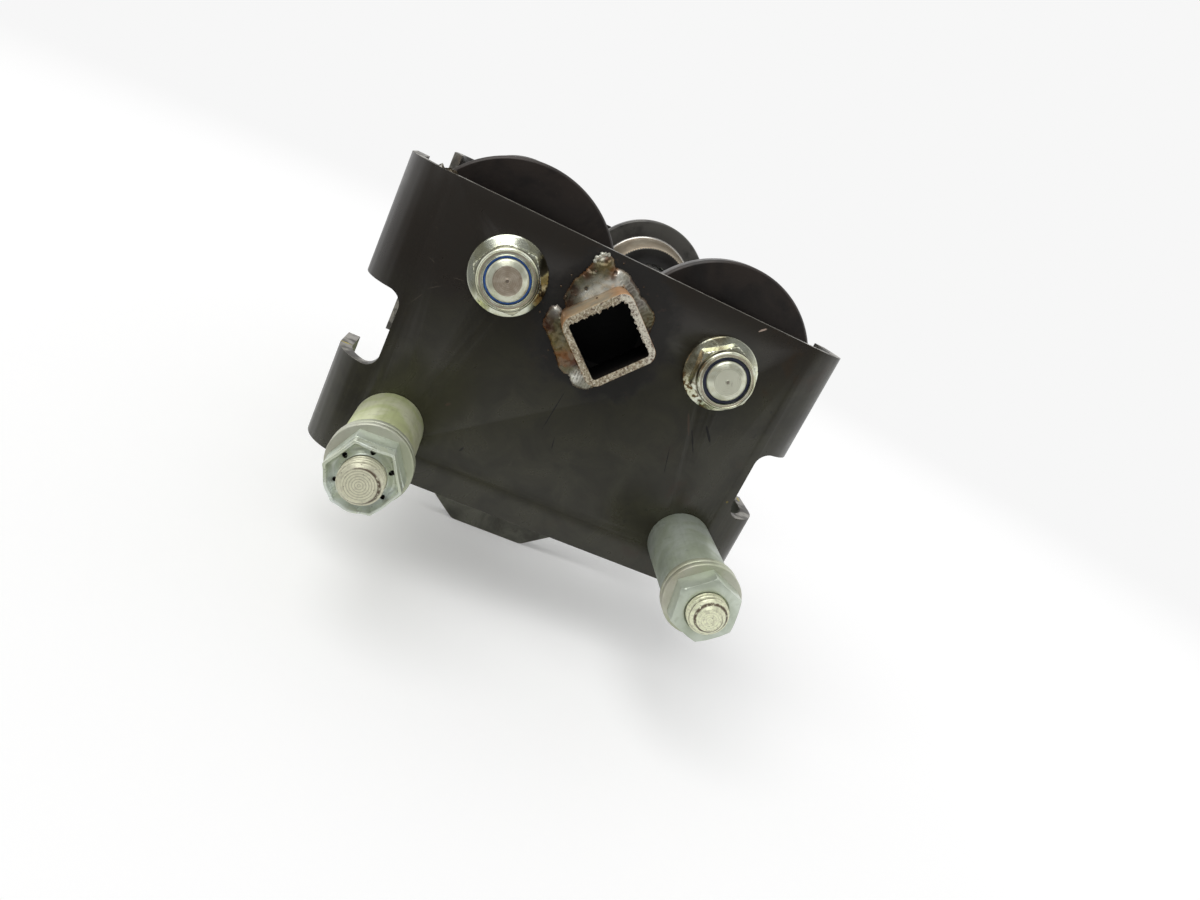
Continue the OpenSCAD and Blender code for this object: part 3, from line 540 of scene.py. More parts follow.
def make_piece(shape, name, finishes, replaced=(), body="trolley_frame"):
    mesh = bpy.data.meshes.new(name)
    shape.to_mesh(mesh)
    shape.free()
    for finish in finishes:
        mesh.materials.append(finish)
    for face in mesh.polygons:
        face.use_smooth = True
    piece = bpy.data.objects.new(name, mesh)
    bpy.context.scene.collection.objects.link(piece)
    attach(piece, body)
    if replaced:
        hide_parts(*replaced)
    return piece


def round_edges(piece, width, finish=-1, sharp=35.0):
    bevel = piece.modifiers.new("rounded_edges", "BEVEL")
    bevel.width = width * MM
    bevel.segments = 2
    bevel.limit_method = "ANGLE"
    bevel.angle_limit = radians(sharp)
    bevel.harden_normals = True
    bevel.material = finish


def merged_copy(node):
    """The CAD node's mesh with its loose triangles joined into clean faces."""
    shape = bmesh.new()
    shape.from_mesh(frame["nodes"][node].data)
    bmesh.ops.remove_doubles(shape, verts=shape.verts, dist=1e-6)
    bmesh.ops.dissolve_limit(shape, angle_limit=radians(0.5), verts=shape.verts, edges=shape.edges)
    for face in shape.faces:
        face.material_index = 0
    return shape


def softened(node, suffix, finishes, width, edge_finish=-1, choose=None):
    """A CAD node's shape with its sharp edges rounded, in its own finishes."""
    shape = merged_copy(node)
    if choose:
        for face in shape.faces:
            face.material_index = choose(face.calc_center_median() / MM, face.normal)
    body = frame["nodes"][node]["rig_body"]
    piece = make_piece(shape, node + "_" + suffix, finishes, [node], body)
    round_edges(piece, width, finish=edge_finish)
    return piece


def turned(profile, steps=96):
    """A shape turned about Y from a chain of radius and depth in millimetres."""
    shape = bmesh.new()
    chain = [shape.verts.new((r * MM, u * MM, 0.0)) for r, u in profile]
    lines = [shape.edges.new(pair) for pair in zip(chain, chain[1:])]
    bmesh.ops.spin(shape, geom=chain + lines, cent=(0, 0, 0), axis=(0, 1, 0), dvec=(0, 0, 0),
                   angle=2 * pi, steps=steps, use_merge=True)
    bmesh.ops.remove_doubles(shape, verts=shape.verts, dist=1e-6)
    return shape


DRIFT_FROM = [(7.3, 1.9, 4.1), (2.7, 8.5, 6.2), (5.1, 3.3, 9.7)]


def drift(place):
    """A smooth shift in all three directions, the same at the same place in every run."""
    return Vector([noise.noise(place + Vector(away)) for away in DRIFT_FROM])


def nearest(rows, r, u):
    """The row of a turned shape that a vertex was made from."""
    return min(rows, key=lambda row: abs(row[0] - r) + abs(row[1] - u))


def polar(vertex):
    """Radius and depth in millimetres, and angle from +X to +Z, of a turned shape's vertex."""
    return hypot(vertex.co.x, vertex.co.z) / MM, vertex.co.y / MM, atan2(vertex.co.z, vertex.co.x)


def from_polar(r, u, angle):
    return Vector((r * cos(angle), u, r * sin(angle))) * MM


def to_corner(shape, side, x, z):
    """Moves a shape drawn about the origin to its axis, with Y inward from the plate."""
    if side == REAR:
        bmesh.ops.scale(shape, vec=(1, -1, 1), verts=shape.verts)
    bmesh.ops.translate(shape, vec=(x * MM, side * OUTER_Y * MM, z * MM), verts=shape.verts)
    bmesh.ops.recalc_face_normals(shape, faces=shape.faces)


def arc(cx, cy, r, start, end, n):
    angles = [radians(start + (end - start) * i / n) for i in range(n + 1)]
    return [(cx + r * cos(a), cy + r * sin(a)) for a in angles]


def end_rings(radius, depth, step, height):
    """A turned end face from its rim to its middle, in rounded rings with valleys between."""
    points = [(radius, depth)]
    crest = int(radius / step - 0.01) * step
    while crest > 0.3 * step:
        points += [(crest + step * 0.5, depth + height), (crest + step * 0.25, depth + height * 0.25),
                   (crest, depth), (crest - step * 0.25, depth + height * 0.25)]
        crest -= step
    return points + [(step * 0.3, depth + height * 0.6), (0.0, depth + height * 0.4)]


# Tie rods: a plain shank inside the spacer tubes, and a cut thread on both ends. A thread's
# crest takes up a share of half a turn, its flank another one, and the root the rest.
THREAD_ROW, CREST_SHARE, FLANK_SHARE = 0.2, 0.22, 0.62


def thread_radius(angle, u, col):
    """Radius of the thread at an angle and depth, cut off by the end chamfer."""
    end_u = ROD_END[col]
    phase = (u / THREAD_PITCH - angle / (2 * pi)) % 1.0
    groove = min(1.0, max(0.0, (abs(2 * phase - 1) - CREST_SHARE) / FLANK_SHARE))
    fade = min(1.0, max(0.0, (end_u + THREAD_LENGTH - u) / THREAD_PITCH))
    worn = 0.1 * noise.noise(Vector((angle * 3.0, u * 1.5, end_u)))
    chamfer = FACE_R[col] + (u - end_u) * CHAMFER_SLOPE[col]
    return min(THREAD_R - THREAD_DEPTH * groove * fade + worn * min(groove + 0.3, 1.0) - 0.05, chamfer)


def threaded_end(shape, side, col):
    for vertex in shape.verts:
        r, u, _ = polar(vertex)
        if r > THREAD_R - 0.01 and u <= ROD_END[col] + THREAD_LENGTH + 0.01:
            new_r = thread_radius(atan2(vertex.co.x, vertex.co.z) * -side, u, col)
            vertex.co.x *= new_r / r
            vertex.co.z *= new_r / r


def joined(shapes):
    """Several shapes as one, with the rims that meet merged."""
    whole = bmesh.new()
    for shape in shapes:
        mesh = bpy.data.meshes.new("half")
        shape.to_mesh(mesh)
        shape.free()
        whole.from_mesh(mesh)
        bpy.data.meshes.remove(mesh)
    bmesh.ops.remove_doubles(whole, verts=whole.verts, dist=2e-6)
    bmesh.ops.recalc_face_normals(whole, faces=whole.faces)
    return whole


def tie_rod(col):
    name = COL_NAMES[col] + "_tie_rod"
    end_u, rows = ROD_END[col], int(THREAD_LENGTH / THREAD_ROW)
    wall = [(THREAD_R, OUTER_Y)] + [(THREAD_R, end_u + (rows - i) * THREAD_ROW) for i in range(rows + 1)]
    halves = []
    for side in (FRONT, REAR):
        half = turned(wall + end_rings(FACE_R[col] - 0.05, end_u, RING_STEP, 0.1))
        threaded_end(half, side, col)
        to_corner(half, side, col * ROD_X, ROD_Z)
        halves.append(half)
    make_piece(joined(halves), name + "_threaded", [THREAD], [name])


for column in (LEFT, RIGHT):
    tie_rod(column)


# Sheet and plates, spacers, washers and nuts: the CAD shapes with rounded edges
NOTCH_Z, NOTCH_FLOOR_X, FOLD_DEPTH = (86.0, 121.0), (79.0, 80.0), 30.0


def sheet_faces(center, normal):
    """Cut faces of the folded sheet are the ones that end its thickness."""
    x, y, z = center
    up = abs(normal.z) > 0.9
    fold_end = abs(normal.y) > 0.9 and abs(y) < OUTER_Y - FOLD_DEPTH
    in_notch = NOTCH_Z[0] < z < NOTCH_Z[1] and NOTCH_FLOOR_X[0] < abs(x) < NOTCH_FLOOR_X[1]
    return 1 if up or fold_end or in_notch and abs(normal.x) > 0.9 else 0


softened("front_side_plate", "sheet", [FRONT_PAINT, FRONT_CUT, ARRIS], 0.35, 2, sheet_faces)
softened("rear_side_plate", "sheet", [PAINT, CUT, ARRIS], 0.35, 2, sheet_faces)
for side, side_name in SIDE_NAMES.items():
    softened(side_name + "_suspension_plate", "sheet", [HANGER_PAINT, CUT, ARRIS], 0.4, 2)
    for column in COL_NAMES:
        for kind in ("_inner_spacer", "_outer_spacer"):
            softened(CORNERS[side, column] + kind, "tube", [SPACER_ZINC[column]], 0.3)
for column, column_name in COL_NAMES.items():
    softened(column_name + "_middle_spacer", "tube", [SPACER_ZINC[column]], 0.3)
for node, finish, width in (("spacer_washers", WASHER_ZINC, 0.6), ("nut_washers", WASHER_ZINC, 0.6),
                            ("tie_rod_nuts", NUT_ZINC, 0.35), ("tie_rod_thin_nuts", NUT_ZINC, 0.35)):
    softened(node, "rolled", [finish], width)


# Pressed lock nut: a hexagonal sheet cup with a dished floor and six slots
CUP_SEAT_U, CUP_RIM_U, CUP_FLAT, CUP_SHEET, CUP_STEPS = -52.0, -57.0, 12.0, 1.1, 180
CUP_CORNER_CUT, CUP_ARCH, CUP_BULGE, BULGE_AT = 0.1, 0.9, 0.9, 247.0
SLOT_AT, SLOT_R, SLOTS, SLOT_MIDDLE_U, SLOT_PIN_L = 9.5, 0.95, 6, CUP_SEAT_U - 4.15, 8.0


def cup_rows():
    """Each row of the cup: radius at a flat, depth, how hexagonal it is, and how far it arches."""
    rim, floor = CUP_RIM_U + CUP_ARCH, CUP_SEAT_U - CUP_SHEET
    out, seat = CUP_FLAT, CUP_SEAT_U
    return [
        (8.05, seat - 0.4, 0, 0), (9.6, seat, 0, 0), (11.4, seat, 0.7, 0), (out - 0.05, seat - 0.3, 1, 0),
        (out, seat - 1.0, 1, 0), (out, rim + 1.6, 1, 0.2), (out + 0.02, rim + 0.5, 1, 0.8),
        (out, rim + 0.1, 1, 1), (out - 0.18, rim, 1, 1), (out - 0.85, rim, 1, 1),
        (out - 1.0, rim + 0.12, 1, 1), (out - 1.05, rim + 0.6, 1, 0.8), (out - 1.3, rim + 1.6, 1, 0.2),
        (out - 1.6, floor - 0.5, 0.9, 0), (out - 2.0, floor - 0.12, 0.6, 0), (9.9, floor - 0.08, 0.1, 0),
        (9.75, floor - 0.22, 0, 0), (9.3, floor - 0.42, 0, 0), (8.7, floor - 0.95, 0, 0),
        (8.25, floor - 1.5, 0, 0), (8.06, floor - 1.55, 0, 0), (8.02, floor - 1.35, 0, 0),
        (8.02, seat - 0.7, 0, 0),
    ]


def pressed_cup():
    rows = cup_rows()
    shape = turned([row[:2] for row in rows + rows[:1]], CUP_STEPS)
    for vertex in shape.verts:
        r, u, angle = polar(vertex)
        hexed, arch = nearest(rows, r, u)[2:]
        from_flat = angle % (pi / 3) - pi / 6
        corner = r / cos(pi / 6) - CUP_CORNER_CUT
        middle = arch * cos(3 * from_flat) ** 2
        new_r = r + hexed * (min(r / cos(from_flat), corner) - r)
        new_r += CUP_BULGE * middle * max(0.0, cos(angle - radians(BULGE_AT)))
        vertex.co = from_polar(new_r, u - CUP_ARCH * middle, angle)
    bmesh.ops.recalc_face_normals(shape, faces=shape.faces)
    return shape


def as_object(shape, name):
    mesh = bpy.data.meshes.new(name)
    shape.to_mesh(mesh)
    shape.free()
    made = bpy.data.objects.new(name, mesh)
    bpy.context.scene.collection.objects.link(made)
    return made


def with_slots(shape):
    """The cup with six round slots in its floor, their walls near black as painted shade."""
    pins = bmesh.new()
    for i in range(SLOTS):
        place = Matrix.Translation(from_polar(SLOT_AT, SLOT_MIDDLE_U, 2 * pi * (i + 0.5) / SLOTS))
        bmesh.ops.create_cone(pins, cap_ends=True, segments=20, radius1=SLOT_R * MM, radius2=SLOT_R * MM,
                              depth=SLOT_PIN_L * MM, matrix=place @ Matrix.Rotation(pi / 2, 4, "X"))
    for face in pins.faces:
        face.material_index = 1
    blank, cutter = as_object(shape, "cup_blank"), as_object(pins, "slot_pins")
    for used in (blank, cutter):
        used.data.materials.append(CUP_ZINC)
        used.data.materials.append(TUBE_INSIDE)
    cut = blank.modifiers.new("slots", "BOOLEAN")
    cut.operation, cut.solver, cut.object = "DIFFERENCE", "EXACT", cutter
    result = bmesh.new()
    result.from_object(blank, bpy.context.evaluated_depsgraph_get())
    for used in (blank, cutter):
        bpy.data.objects.remove(used)
    bmesh.ops.remove_doubles(result, verts=result.verts, dist=2e-6)
    return result


cup = with_slots(pressed_cup())
to_corner(cup, FRONT, -ROD_X, ROD_Z)
make_piece(cup, "pressed_lock_nut_cup", [CUP_ZINC, TUBE_INSIDE], ["pressed_lock_nut"])


# Axles: turned in one piece, with a ringed end face and a centre nib on the stud
STUD_END_U, STUD_FACE_R, NIB_R = -14.2, 5.45, 1.2
AXLE_BODY = [
    # Radius and depth from the inner end to the stud
    (0.0, 41.7), (7.88, 41.7), (8.48, 41.1), (8.48, 40.1), (8.0, 40.1), (8.0, 39.0), (8.48, 39.0),
    (8.48, 27.4), (8.3, 27.0), (10.7, 27.0), (11.0, 26.7), (11.0, 13.4), (11.3, 13.0), (12.5, 13.0),
    (13.0, 12.5), (13.0, 5.5), (12.5, 5.0), (8.4, 5.0), (8.0, 4.6), (8.0, -12.5), (7.9, -12.75),
]
CENTRE_NIB = [(1.05, 0.08), (0.85, -0.1), (0.5, -0.28), (0.2, -0.34), (0.0, -0.34)]


def axle(side, col):
    name = CORNERS[side, col] + "_axle"
    rings = end_rings(STUD_FACE_R - 0.15, STUD_END_U, STUD_RING, 0.07)
    face = [(7.2, -13.22), (7.15, -13.2), (STUD_FACE_R + 0.12, STUD_END_U + 0.1)]
    face += [point for point in rings if point[0] > NIB_R]
    face += [(r, STUD_END_U + u) for r, u in CENTRE_NIB]
    shape = turned(AXLE_BODY + face)
    to_corner(shape, side, col * AXLE_X, AXLE_Z)
    round_edges(make_piece(shape, name + "_turned", [AXLE], [name]), 0.1, sharp=50.0)


for side, column in CORNERS:
    axle(side, column)


# Axle lock nuts: a flange, a chamfered hexagon and a rolled collar over the nylon ring.
# The right ones hold their nylon ring deeper and wider.
LOCK_HEX_U, LOCK_TOP_U, NYLON_R, COLLAR_R, LOCK_HOLE_R = -9.6, -12.8, 8.93, 11.8, 8.04
LIP_R, NYLON_U, HEX_TURN = {LEFT: 8.93, RIGHT: 9.62}, {LEFT: -12.3, RIGHT: -11.5}, {LEFT: 1.0, RIGHT: 34.0}
HEX_CORNER_R, LOCK_STEPS, ON_CONE = 13.68, 120, -3.0
CONE_R, CONE_U, CONE_RISE, CONE_WIDE = 15.1, -1.8, 1.6, 3.1


def cone_depth(r):
    """Depth of the flange's sloped face at a radius."""
    return CONE_U - CONE_RISE * (CONE_R - r) / CONE_WIDE


def lock_nut_rows(col):
    """Radius at a flat, depth, and the most a corner may reach (0 where the row is round)."""
    top, lip = LOCK_TOP_U, LIP_R[col]
    seat = NYLON_U[col] + 0.75
    collar = [(NYLON_R, LOCK_HEX_U), (NYLON_R, seat), (lip, seat - 0.2), (lip, top + 0.5)]
    collar += arc(lip + 0.18, top + 0.3, 0.18, 180, 360, 4)
    collar += [(lip + 0.42, top + 0.42), (10.45, top + 0.4)]
    collar += arc(11.05, top + 0.5, 0.5, 190, 290, 6)
    collar += arc(10.9, top + 1.0, 0.9, -60, 0, 5)
    collar += [(COLLAR_R, LOCK_HEX_U - 0.35), (11.93, LOCK_HEX_U - 0.04)]
    flange = [(14.7, -2.0), (CONE_R, CONE_U), (15.38, -1.6), (15.5, -1.25), (15.5, -0.35), (15.3, 0.0),
              (LOCK_HOLE_R, 0.0), (LOCK_HOLE_R, LOCK_HEX_U)]
    hexagon = [(12.0, -9.6, 12.25), (12.0, -9.3, 12.75), (12.0, -8.95, 13.3), (12.0, -8.55, HEX_CORNER_R),
               (12.0, -4.3, HEX_CORNER_R), (12.0, ON_CONE, HEX_CORNER_R)]
    return [(*row, 0) for row in collar] + hexagon + [(*row, 0) for row in flange]


def lock_nut(side, col):
    rows = lock_nut_rows(col)
    shape = turned([row[:2] for row in rows + rows[:1]], LOCK_STEPS)
    for vertex in shape.verts:
        r, u, angle = polar(vertex)
        limit = nearest(rows, r, u)[2]
        if limit:
            new_r = min(r / cos(angle % (pi / 3) - pi / 6), limit)
            u = cone_depth(new_r) if abs(u - ON_CONE) < 0.01 else u
            vertex.co = from_polar(new_r, u, angle)
    turn = Matrix.Rotation(-radians(HEX_TURN[col]), 3, "Y")
    bmesh.ops.rotate(shape, cent=(0, 0, 0), matrix=turn, verts=shape.verts)
    to_corner(shape, side, col * AXLE_X, AXLE_Z)
    return shape


def deep_nylon_ring(side):
    """A right nylon ring, pressed deep and spread over its seat."""
    r, seat, u = LIP_R[RIGHT] - 0.02, NYLON_U[RIGHT] + 0.53, NYLON_U[RIGHT]
    shape = turned([(8.03, LOCK_HEX_U), (8.03, u + 0.1), (8.15, u), (r - 0.2, u), (r, u + 0.15), (r, seat),
                    (NYLON_R - 0.02, seat + 0.2), (NYLON_R - 0.02, LOCK_HEX_U), (8.03, LOCK_HEX_U)])
    to_corner(shape, side, RIGHT * AXLE_X, AXLE_Z)
    return shape


nuts = make_piece(joined([lock_nut(*corner) for corner in CORNERS]), "axle_lock_nuts_rolled",
                  [LOCK_ZINC], ["axle_lock_nuts"])
round_edges(nuts, 0.12, sharp=30.0)
make_piece(joined([deep_nylon_ring(side) for side in (FRONT, REAR)]), "right_nylon_rings_pressed",
           [DARK_NYLON], ["right_nylon_rings"])
softened("left_nylon_rings", "pressed", [BLUE_NYLON], 0.3)


# Wheels, with the tread in its own finish, and the bearing parts
TREAD_DEPTH, TREAD_R = (25.0, 46.5), (26.0, 33.5)


def wheel_zones(center, normal):
    depth = OUTER_Y - abs(center.y)
    away = hypot(abs(center.x) - AXLE_X, center.z - AXLE_Z)
    on_tread = TREAD_DEPTH[0] < depth < TREAD_DEPTH[1] and TREAD_R[0] < away < TREAD_R[1]
    return 1 if on_tread and abs(normal.y) < 0.98 else 0


for (side, _), corner in CORNERS.items():
    finishes = [WHEELS[side], TREAD]
    softened(corner + "_wheel", "turned", finishes, 0.3, choose=wheel_zones)
    for kind, suffix, width in (("_outer_race", "ground", 0.4), ("_inner_race", "ground", 0.4),
                                ("_shields", "pressed", 0.2)):
        softened(corner + kind, suffix, [BEARING], width)
    softened(corner + "_circlip", "stamped", [SPRING], 0.15)
    for kind in ("_balls", "_cage"):
        cad = frame["nodes"][corner + kind]
        cad.data.materials.clear()
        cad.data.materials.append(BEARING)
softened("axle_circlips", "stamped", [SPRING], 0.1)


# Square tube, torn along the inner edge of its cut face
def tube_to_part(point):
    """A point in the tube's own directions, in millimetres, to the part in metres."""
    across, out, up = point
    turn = radians(TUBE_TURN)
    x = TUBE_X + across * cos(turn) - up * sin(turn)
    z = TUBE_Z + across * sin(turn) + up * cos(turn)
    return Vector((x, -OUTER_Y - out, z)) * MM


def rounded_square_point(t, half, r):
    """A point at share t round a square with rounded corners, from the middle of +X."""
    straight = 2 * (half - r)
    quarter = pi * r / 2
    side = straight + quarter
    run = (t * 4 * side + straight / 2) % (4 * side)
    turn = int(run // side)
    run -= turn * side
    if run < straight:
        x, y = half, run - straight / 2
    else:
        a = (run - straight) / max(r, 1e-9)
        x, y = half - r + r * cos(a), half - r + r * sin(a)
    a = turn * pi / 2
    return x * cos(a) - y * sin(a), x * sin(a) + y * cos(a)


TUBE_STEPS, INNER_R = 560, 1.3
TUBE_HALF = TUBE_W / 2
TUBE_INNER = TUBE_HALF - TUBE_WALL
TUBE_LOOPS = [
    # Half width, corner radius, distance from the plate, how torn, finish of the band that follows
    (TUBE_HALF, TUBE_R, -0.1, 0.0, 0), (TUBE_HALF, TUBE_R, 7.0, 0.0, 0), (TUBE_HALF, TUBE_R, 14.0, 0.0, 0),
    (TUBE_HALF, TUBE_R, TUBE_L - 0.3, 0.0, 0), (TUBE_HALF - 0.1, TUBE_R, TUBE_L - 0.06, 0.0, 1),
    (TUBE_HALF - 0.3, TUBE_R - 0.2, TUBE_L, 0.0, 1), (TUBE_HALF - 1.3, TUBE_R - 1.1, TUBE_L - 0.03, 0.0, 1),
    (TUBE_INNER + 0.45, INNER_R, TUBE_L - 0.02, 0.3, 1), (TUBE_INNER, INNER_R, TUBE_L - 0.08, 1.0, 1),
    (TUBE_INNER - 0.03, INNER_R, TUBE_L - 0.35, 1.0, 1), (TUBE_INNER, INNER_R, TUBE_L - 0.9, 0.25, 2),
    (TUBE_INNER, INNER_R, TUBE_L - 2.5, 0.0, 2), (TUBE_INNER, INNER_R, 0.02, 0.0, 2),
    (TUBE_INNER, INNER_R, -0.1, 0.0, 0),
]


def torn(x, z):
    """How far the burr hangs over the bore, in millimetres: long teeth above and at the right."""
    coarse = noise.noise(Vector((x, z, 3.0)) * 0.6)
    fine = noise.noise(Vector((x, z, 9.0)) * 1.5)
    hang = 0.35 + 0.8 * coarse + 0.9 * fine
    upper = z > TUBE_INNER - 1.0 and x > -TUBE_INNER + 1.5
    right = x > TUBE_INNER - 1.0 and z > -TUBE_INNER + 4.0
    return max(0.0, hang) if upper or right else max(0.0, 0.12 * fine)


def square_tube():
    shape = bmesh.new()
    rings = []
    for half, corner_r, out, tear, _ in TUBE_LOOPS:
        ring = bmesh.ops.create_circle(shape, segments=TUBE_STEPS, radius=MM, cap_ends=False)["verts"]
        for i, vertex in enumerate(ring):
            x, z = rounded_square_point(i / TUBE_STEPS, half, corner_r)
            pull = 1.0 - tear * torn(x, z) / hypot(x, z)
            lift = 0.3 * tear * noise.noise(Vector((x, z, 5.0)) * 1.4)
            chatter = 0.05 * noise.noise(Vector((x, z, 1.0)) * 2.0) if out > TUBE_L - 0.2 else 0.0
            vertex.co = tube_to_part((x * pull, out + lift + chatter, z * pull))
        rings.append(list({edge for vertex in ring for edge in vertex.link_edges}))
    for loop, a, b in zip(TUBE_LOOPS, rings, rings[1:] + rings[:1]):
        for face in bmesh.ops.bridge_loops(shape, edges=a + b)["faces"]:
            face.material_index = loop[4]
    bmesh.ops.recalc_face_normals(shape, faces=shape.faces)
    make_piece(shape, "square_tube_sawn", [TUBE, SAW_CUT, TUBE_INSIDE], ["square_tube"])


square_tube()


# Weld round the tube, raised from a grid by overlapping lumps in the tube's own directions
# The near-white weld tint is a painted highlight; the silver tint is partly the weld's own colour and partly
# a painted highlight.
SILVER_AND_HIGHLIGHT, OLIVE, TAN_SLAG = (0.36, 0.35, 0.28), (0.12, 0.107, 0.055), (0.15, 0.115, 0.045)
ORANGE = (0.17, 0.068, 0.018)
RUST, RED, DARK, CRUST = (0.085, 0.042, 0.02), (0.07, 0.026, 0.014), (0.018, 0.014, 0.011), (0.62, 0.62, 0.53)
VIOLET, GREY, HIGHLIGHT_WHITE = (0.22, 0.2, 0.18), (0.23, 0.225, 0.175), (0.84, 0.84, 0.76)
LUMPS = [
    # Across, up, radius, height, tint. First the heavy lump that leans on the upper side
    (-9.6, 16.2, 2.0, 0.9, DARK), (-7.6, 15.8, 2.8, 1.8, RUST), (-7.4, 17.9, 2.8, 1.5, DARK),
    (-4.6, 15.8, 3.3, 2.5, GREY), (-4.4, 18.6, 3.2, 2.1, RUST), (-4.2, 20.3, 2.4, 1.3, DARK),
    (-1.2, 15.8, 3.5, 2.8, HIGHLIGHT_WHITE), (-1.0, 18.9, 3.4, 2.5, GREY), (-1.2, 21.3, 2.6, 1.8, OLIVE),
    (2.4, 15.9, 3.6, 3.0, HIGHLIGHT_WHITE), (2.4, 19.1, 3.5, 2.8, GREY), (2.4, 22.2, 2.8, 2.2, RUST),
    (5.8, 16.0, 3.6, 3.2, HIGHLIGHT_WHITE), (5.8, 19.3, 3.5, 3.0, SILVER_AND_HIGHLIGHT), (5.6, 22.4, 3.0, 2.9, OLIVE),
    (5.2, 24.2, 1.9, 1.4, RUST), (9.0, 16.6, 3.2, 3.2, HIGHLIGHT_WHITE), (9.2, 19.6, 3.4, 3.1, OLIVE),
    (9.0, 22.6, 3.2, 3.3, TAN_SLAG), (8.6, 25.0, 2.3, 2.0, OLIVE), (11.4, 18.2, 2.3, 3.2, ORANGE),
    (12.2, 20.2, 2.4, 3.0, ORANGE), (12.0, 22.6, 2.6, 2.8, TAN_SLAG), (11.6, 24.8, 2.3, 2.1, RUST),
    (10.0, 26.6, 2.0, 1.6, CRUST), (10.6, 17.4, 1.9, 2.6, RUST), (13.0, 14.4, 2.8, 3.7, HIGHLIGHT_WHITE),
    (12.2, 16.4, 2.2, 3.7, HIGHLIGHT_WHITE),
    # The bead down the right side, from its bright start to its dark end
    (13.4, 17.2, 2.1, 3.4, HIGHLIGHT_WHITE), (15.0, 16.0, 2.6, 3.2, SILVER_AND_HIGHLIGHT), (15.8, 13.2, 3.2, 3.5, VIOLET),
    (15.8, 10.4, 3.3, 3.5, VIOLET), (15.9, 7.6, 3.4, 3.4, GREY), (16.2, 4.6, 3.6, 3.3, VIOLET),
    (16.5, 1.6, 3.9, 3.1, GREY), (16.8, -1.4, 4.0, 2.9, OLIVE), (16.5, -4.2, 3.4, 2.3, OLIVE),
    (15.8, -6.8, 2.4, 1.5, DARK), (15.4, -8.8, 1.8, 0.8, DARK),
    # The burnt left side
    (-13.4, 15.6, 1.9, 2.5, HIGHLIGHT_WHITE), (-15.4, 14.6, 3.0, 2.3, VIOLET), (-17.6, 13.2, 3.0, 1.9, RUST),
    (-19.2, 12.0, 2.6, 1.5, RED), (-18.4, 9.8, 3.0, 2.1, RED), (-15.6, 10.8, 3.4, 3.1, OLIVE),
    (-16.2, 7.6, 3.9, 3.2, OLIVE), (-18.4, 6.2, 3.4, 2.1, TAN_SLAG), (-16.2, 4.2, 3.9, 3.1, OLIVE),
    (-18.6, 2.0, 3.2, 2.1, TAN_SLAG), (-16.2, 0.8, 3.9, 3.1, TAN_SLAG), (-18.4, -1.6, 3.4, 2.1, ORANGE),
    (-16.4, -2.8, 3.8, 2.8, ORANGE), (-18.4, -4.6, 3.2, 1.9, ORANGE), (-16.4, -6.0, 3.2, 2.2, RED),
    (-21.3, -7.4, 1.6, 1.1, OLIVE), (-19.2, -8.2, 2.0, 1.2, OLIVE),
    # The ribbed bead round the lower left corner
    (-16.6, -9.6, 2.8, 2.7, SILVER_AND_HIGHLIGHT), (-17.4, -12.0, 3.2, 3.1, HIGHLIGHT_WHITE), (-16.8, -14.4, 3.2, 3.2, GREY),
    (-14.8, -16.0, 3.0, 2.8, SILVER_AND_HIGHLIGHT), (-12.4, -16.2, 2.7, 2.1, OLIVE), (-10.4, -15.7, 2.0, 1.2, RUST),
]
WELD_OUTLINE = [
    # Across and up, as seen in the photograph: the lump, the right bead, then both left ones
    (-10.2, 15.0), (-9.8, 18.2), (-7.6, 20.4), (-4.2, 22.2), (-0.6, 23.6), (3.4, 24.7), (6.4, 26.2),
    (9.2, 27.2), (11.6, 27.2), (13.6, 25.8), (14.4, 23.6), (13.8, 21.4), (13.7, 20.0), (15.2, 19.2),
    (16.8, 17.6), (17.6, 15.4), (17.9, 12.6), (18.3, 10.0), (18.7, 7.0), (19.3, 4.0), (20.3, 1.0),
    (20.8, -1.4), (20.3, -3.8), (18.9, -6.0), (16.8, -8.0), (14.6, -9.4), (10.0, -8.0), (-8.0, -12.0),
    (-9.4, -15.6), (-11.4, -18.4), (-13.8, -19.6), (-16.2, -19.4), (-18.6, -17.8), (-20.5, -15.4),
    (-21.0, -13.2), (-20.4, -11.4), (-20.9, -10.0), (-22.6, -8.4), (-23.0, -6.4), (-22.4, -4.0),
    (-21.8, -1.0), (-21.6, 3.0), (-21.4, 8.4), (-21.5, 11.0), (-20.6, 13.6), (-18.6, 15.6), (-16.2, 16.8),
    (-14.0, 17.4), (-12.4, 16.8), (-11.8, 15.2), (-11.4, 12.0),
]
CRUSTS = [
    (7.2, 26.2, 0.9, 1.5), (8.4, 26.9, 1.0, 1.9), (9.7, 26.8, 0.8, 2.1), (10.8, 27.2, 1.0, 1.9),
    (12.0, 26.8, 0.9, 1.9), (13.1, 26.0, 0.9, 1.6),
]
PITS = [(5.8, 22.7, 0.8), (0.1, 17.8, 0.7), (-8.5, 18.2, 0.6), (-10.0, 17.0, 0.9), (12.4, 19.0, 0.7)]
SPATTER = [
    # Across, up, out, radius
    (5.9, 22.8, 3.7, 0.45), (-0.1, 17.9, 2.4, 0.42), (-4.6, 17.4, 2.0, 0.4), (-8.4, 18.4, 0.9, 0.45),
    (-8.5, 22.6, 0.1, 0.4), (2.2, 14.4, 9.0, 0.45), (14.9, -3.2, 4.2, 0.4), (-3.0, 24.8, 0.0, 0.35),
    (20.6, 9.0, 0.0, 0.3), (-23.4, 2.0, 0.0, 0.3), (-20.0, 17.0, 0.0, 0.35), (17.0, 20.5, 0.0, 0.3),
]
WELD_STEP, WELD_SUNK, CUT_INSET, WELD_ROUND, LUMP_FALL, PIT_DEPTH = 0.33, 0.3, 1.3, 3.0, 3.2, 0.9
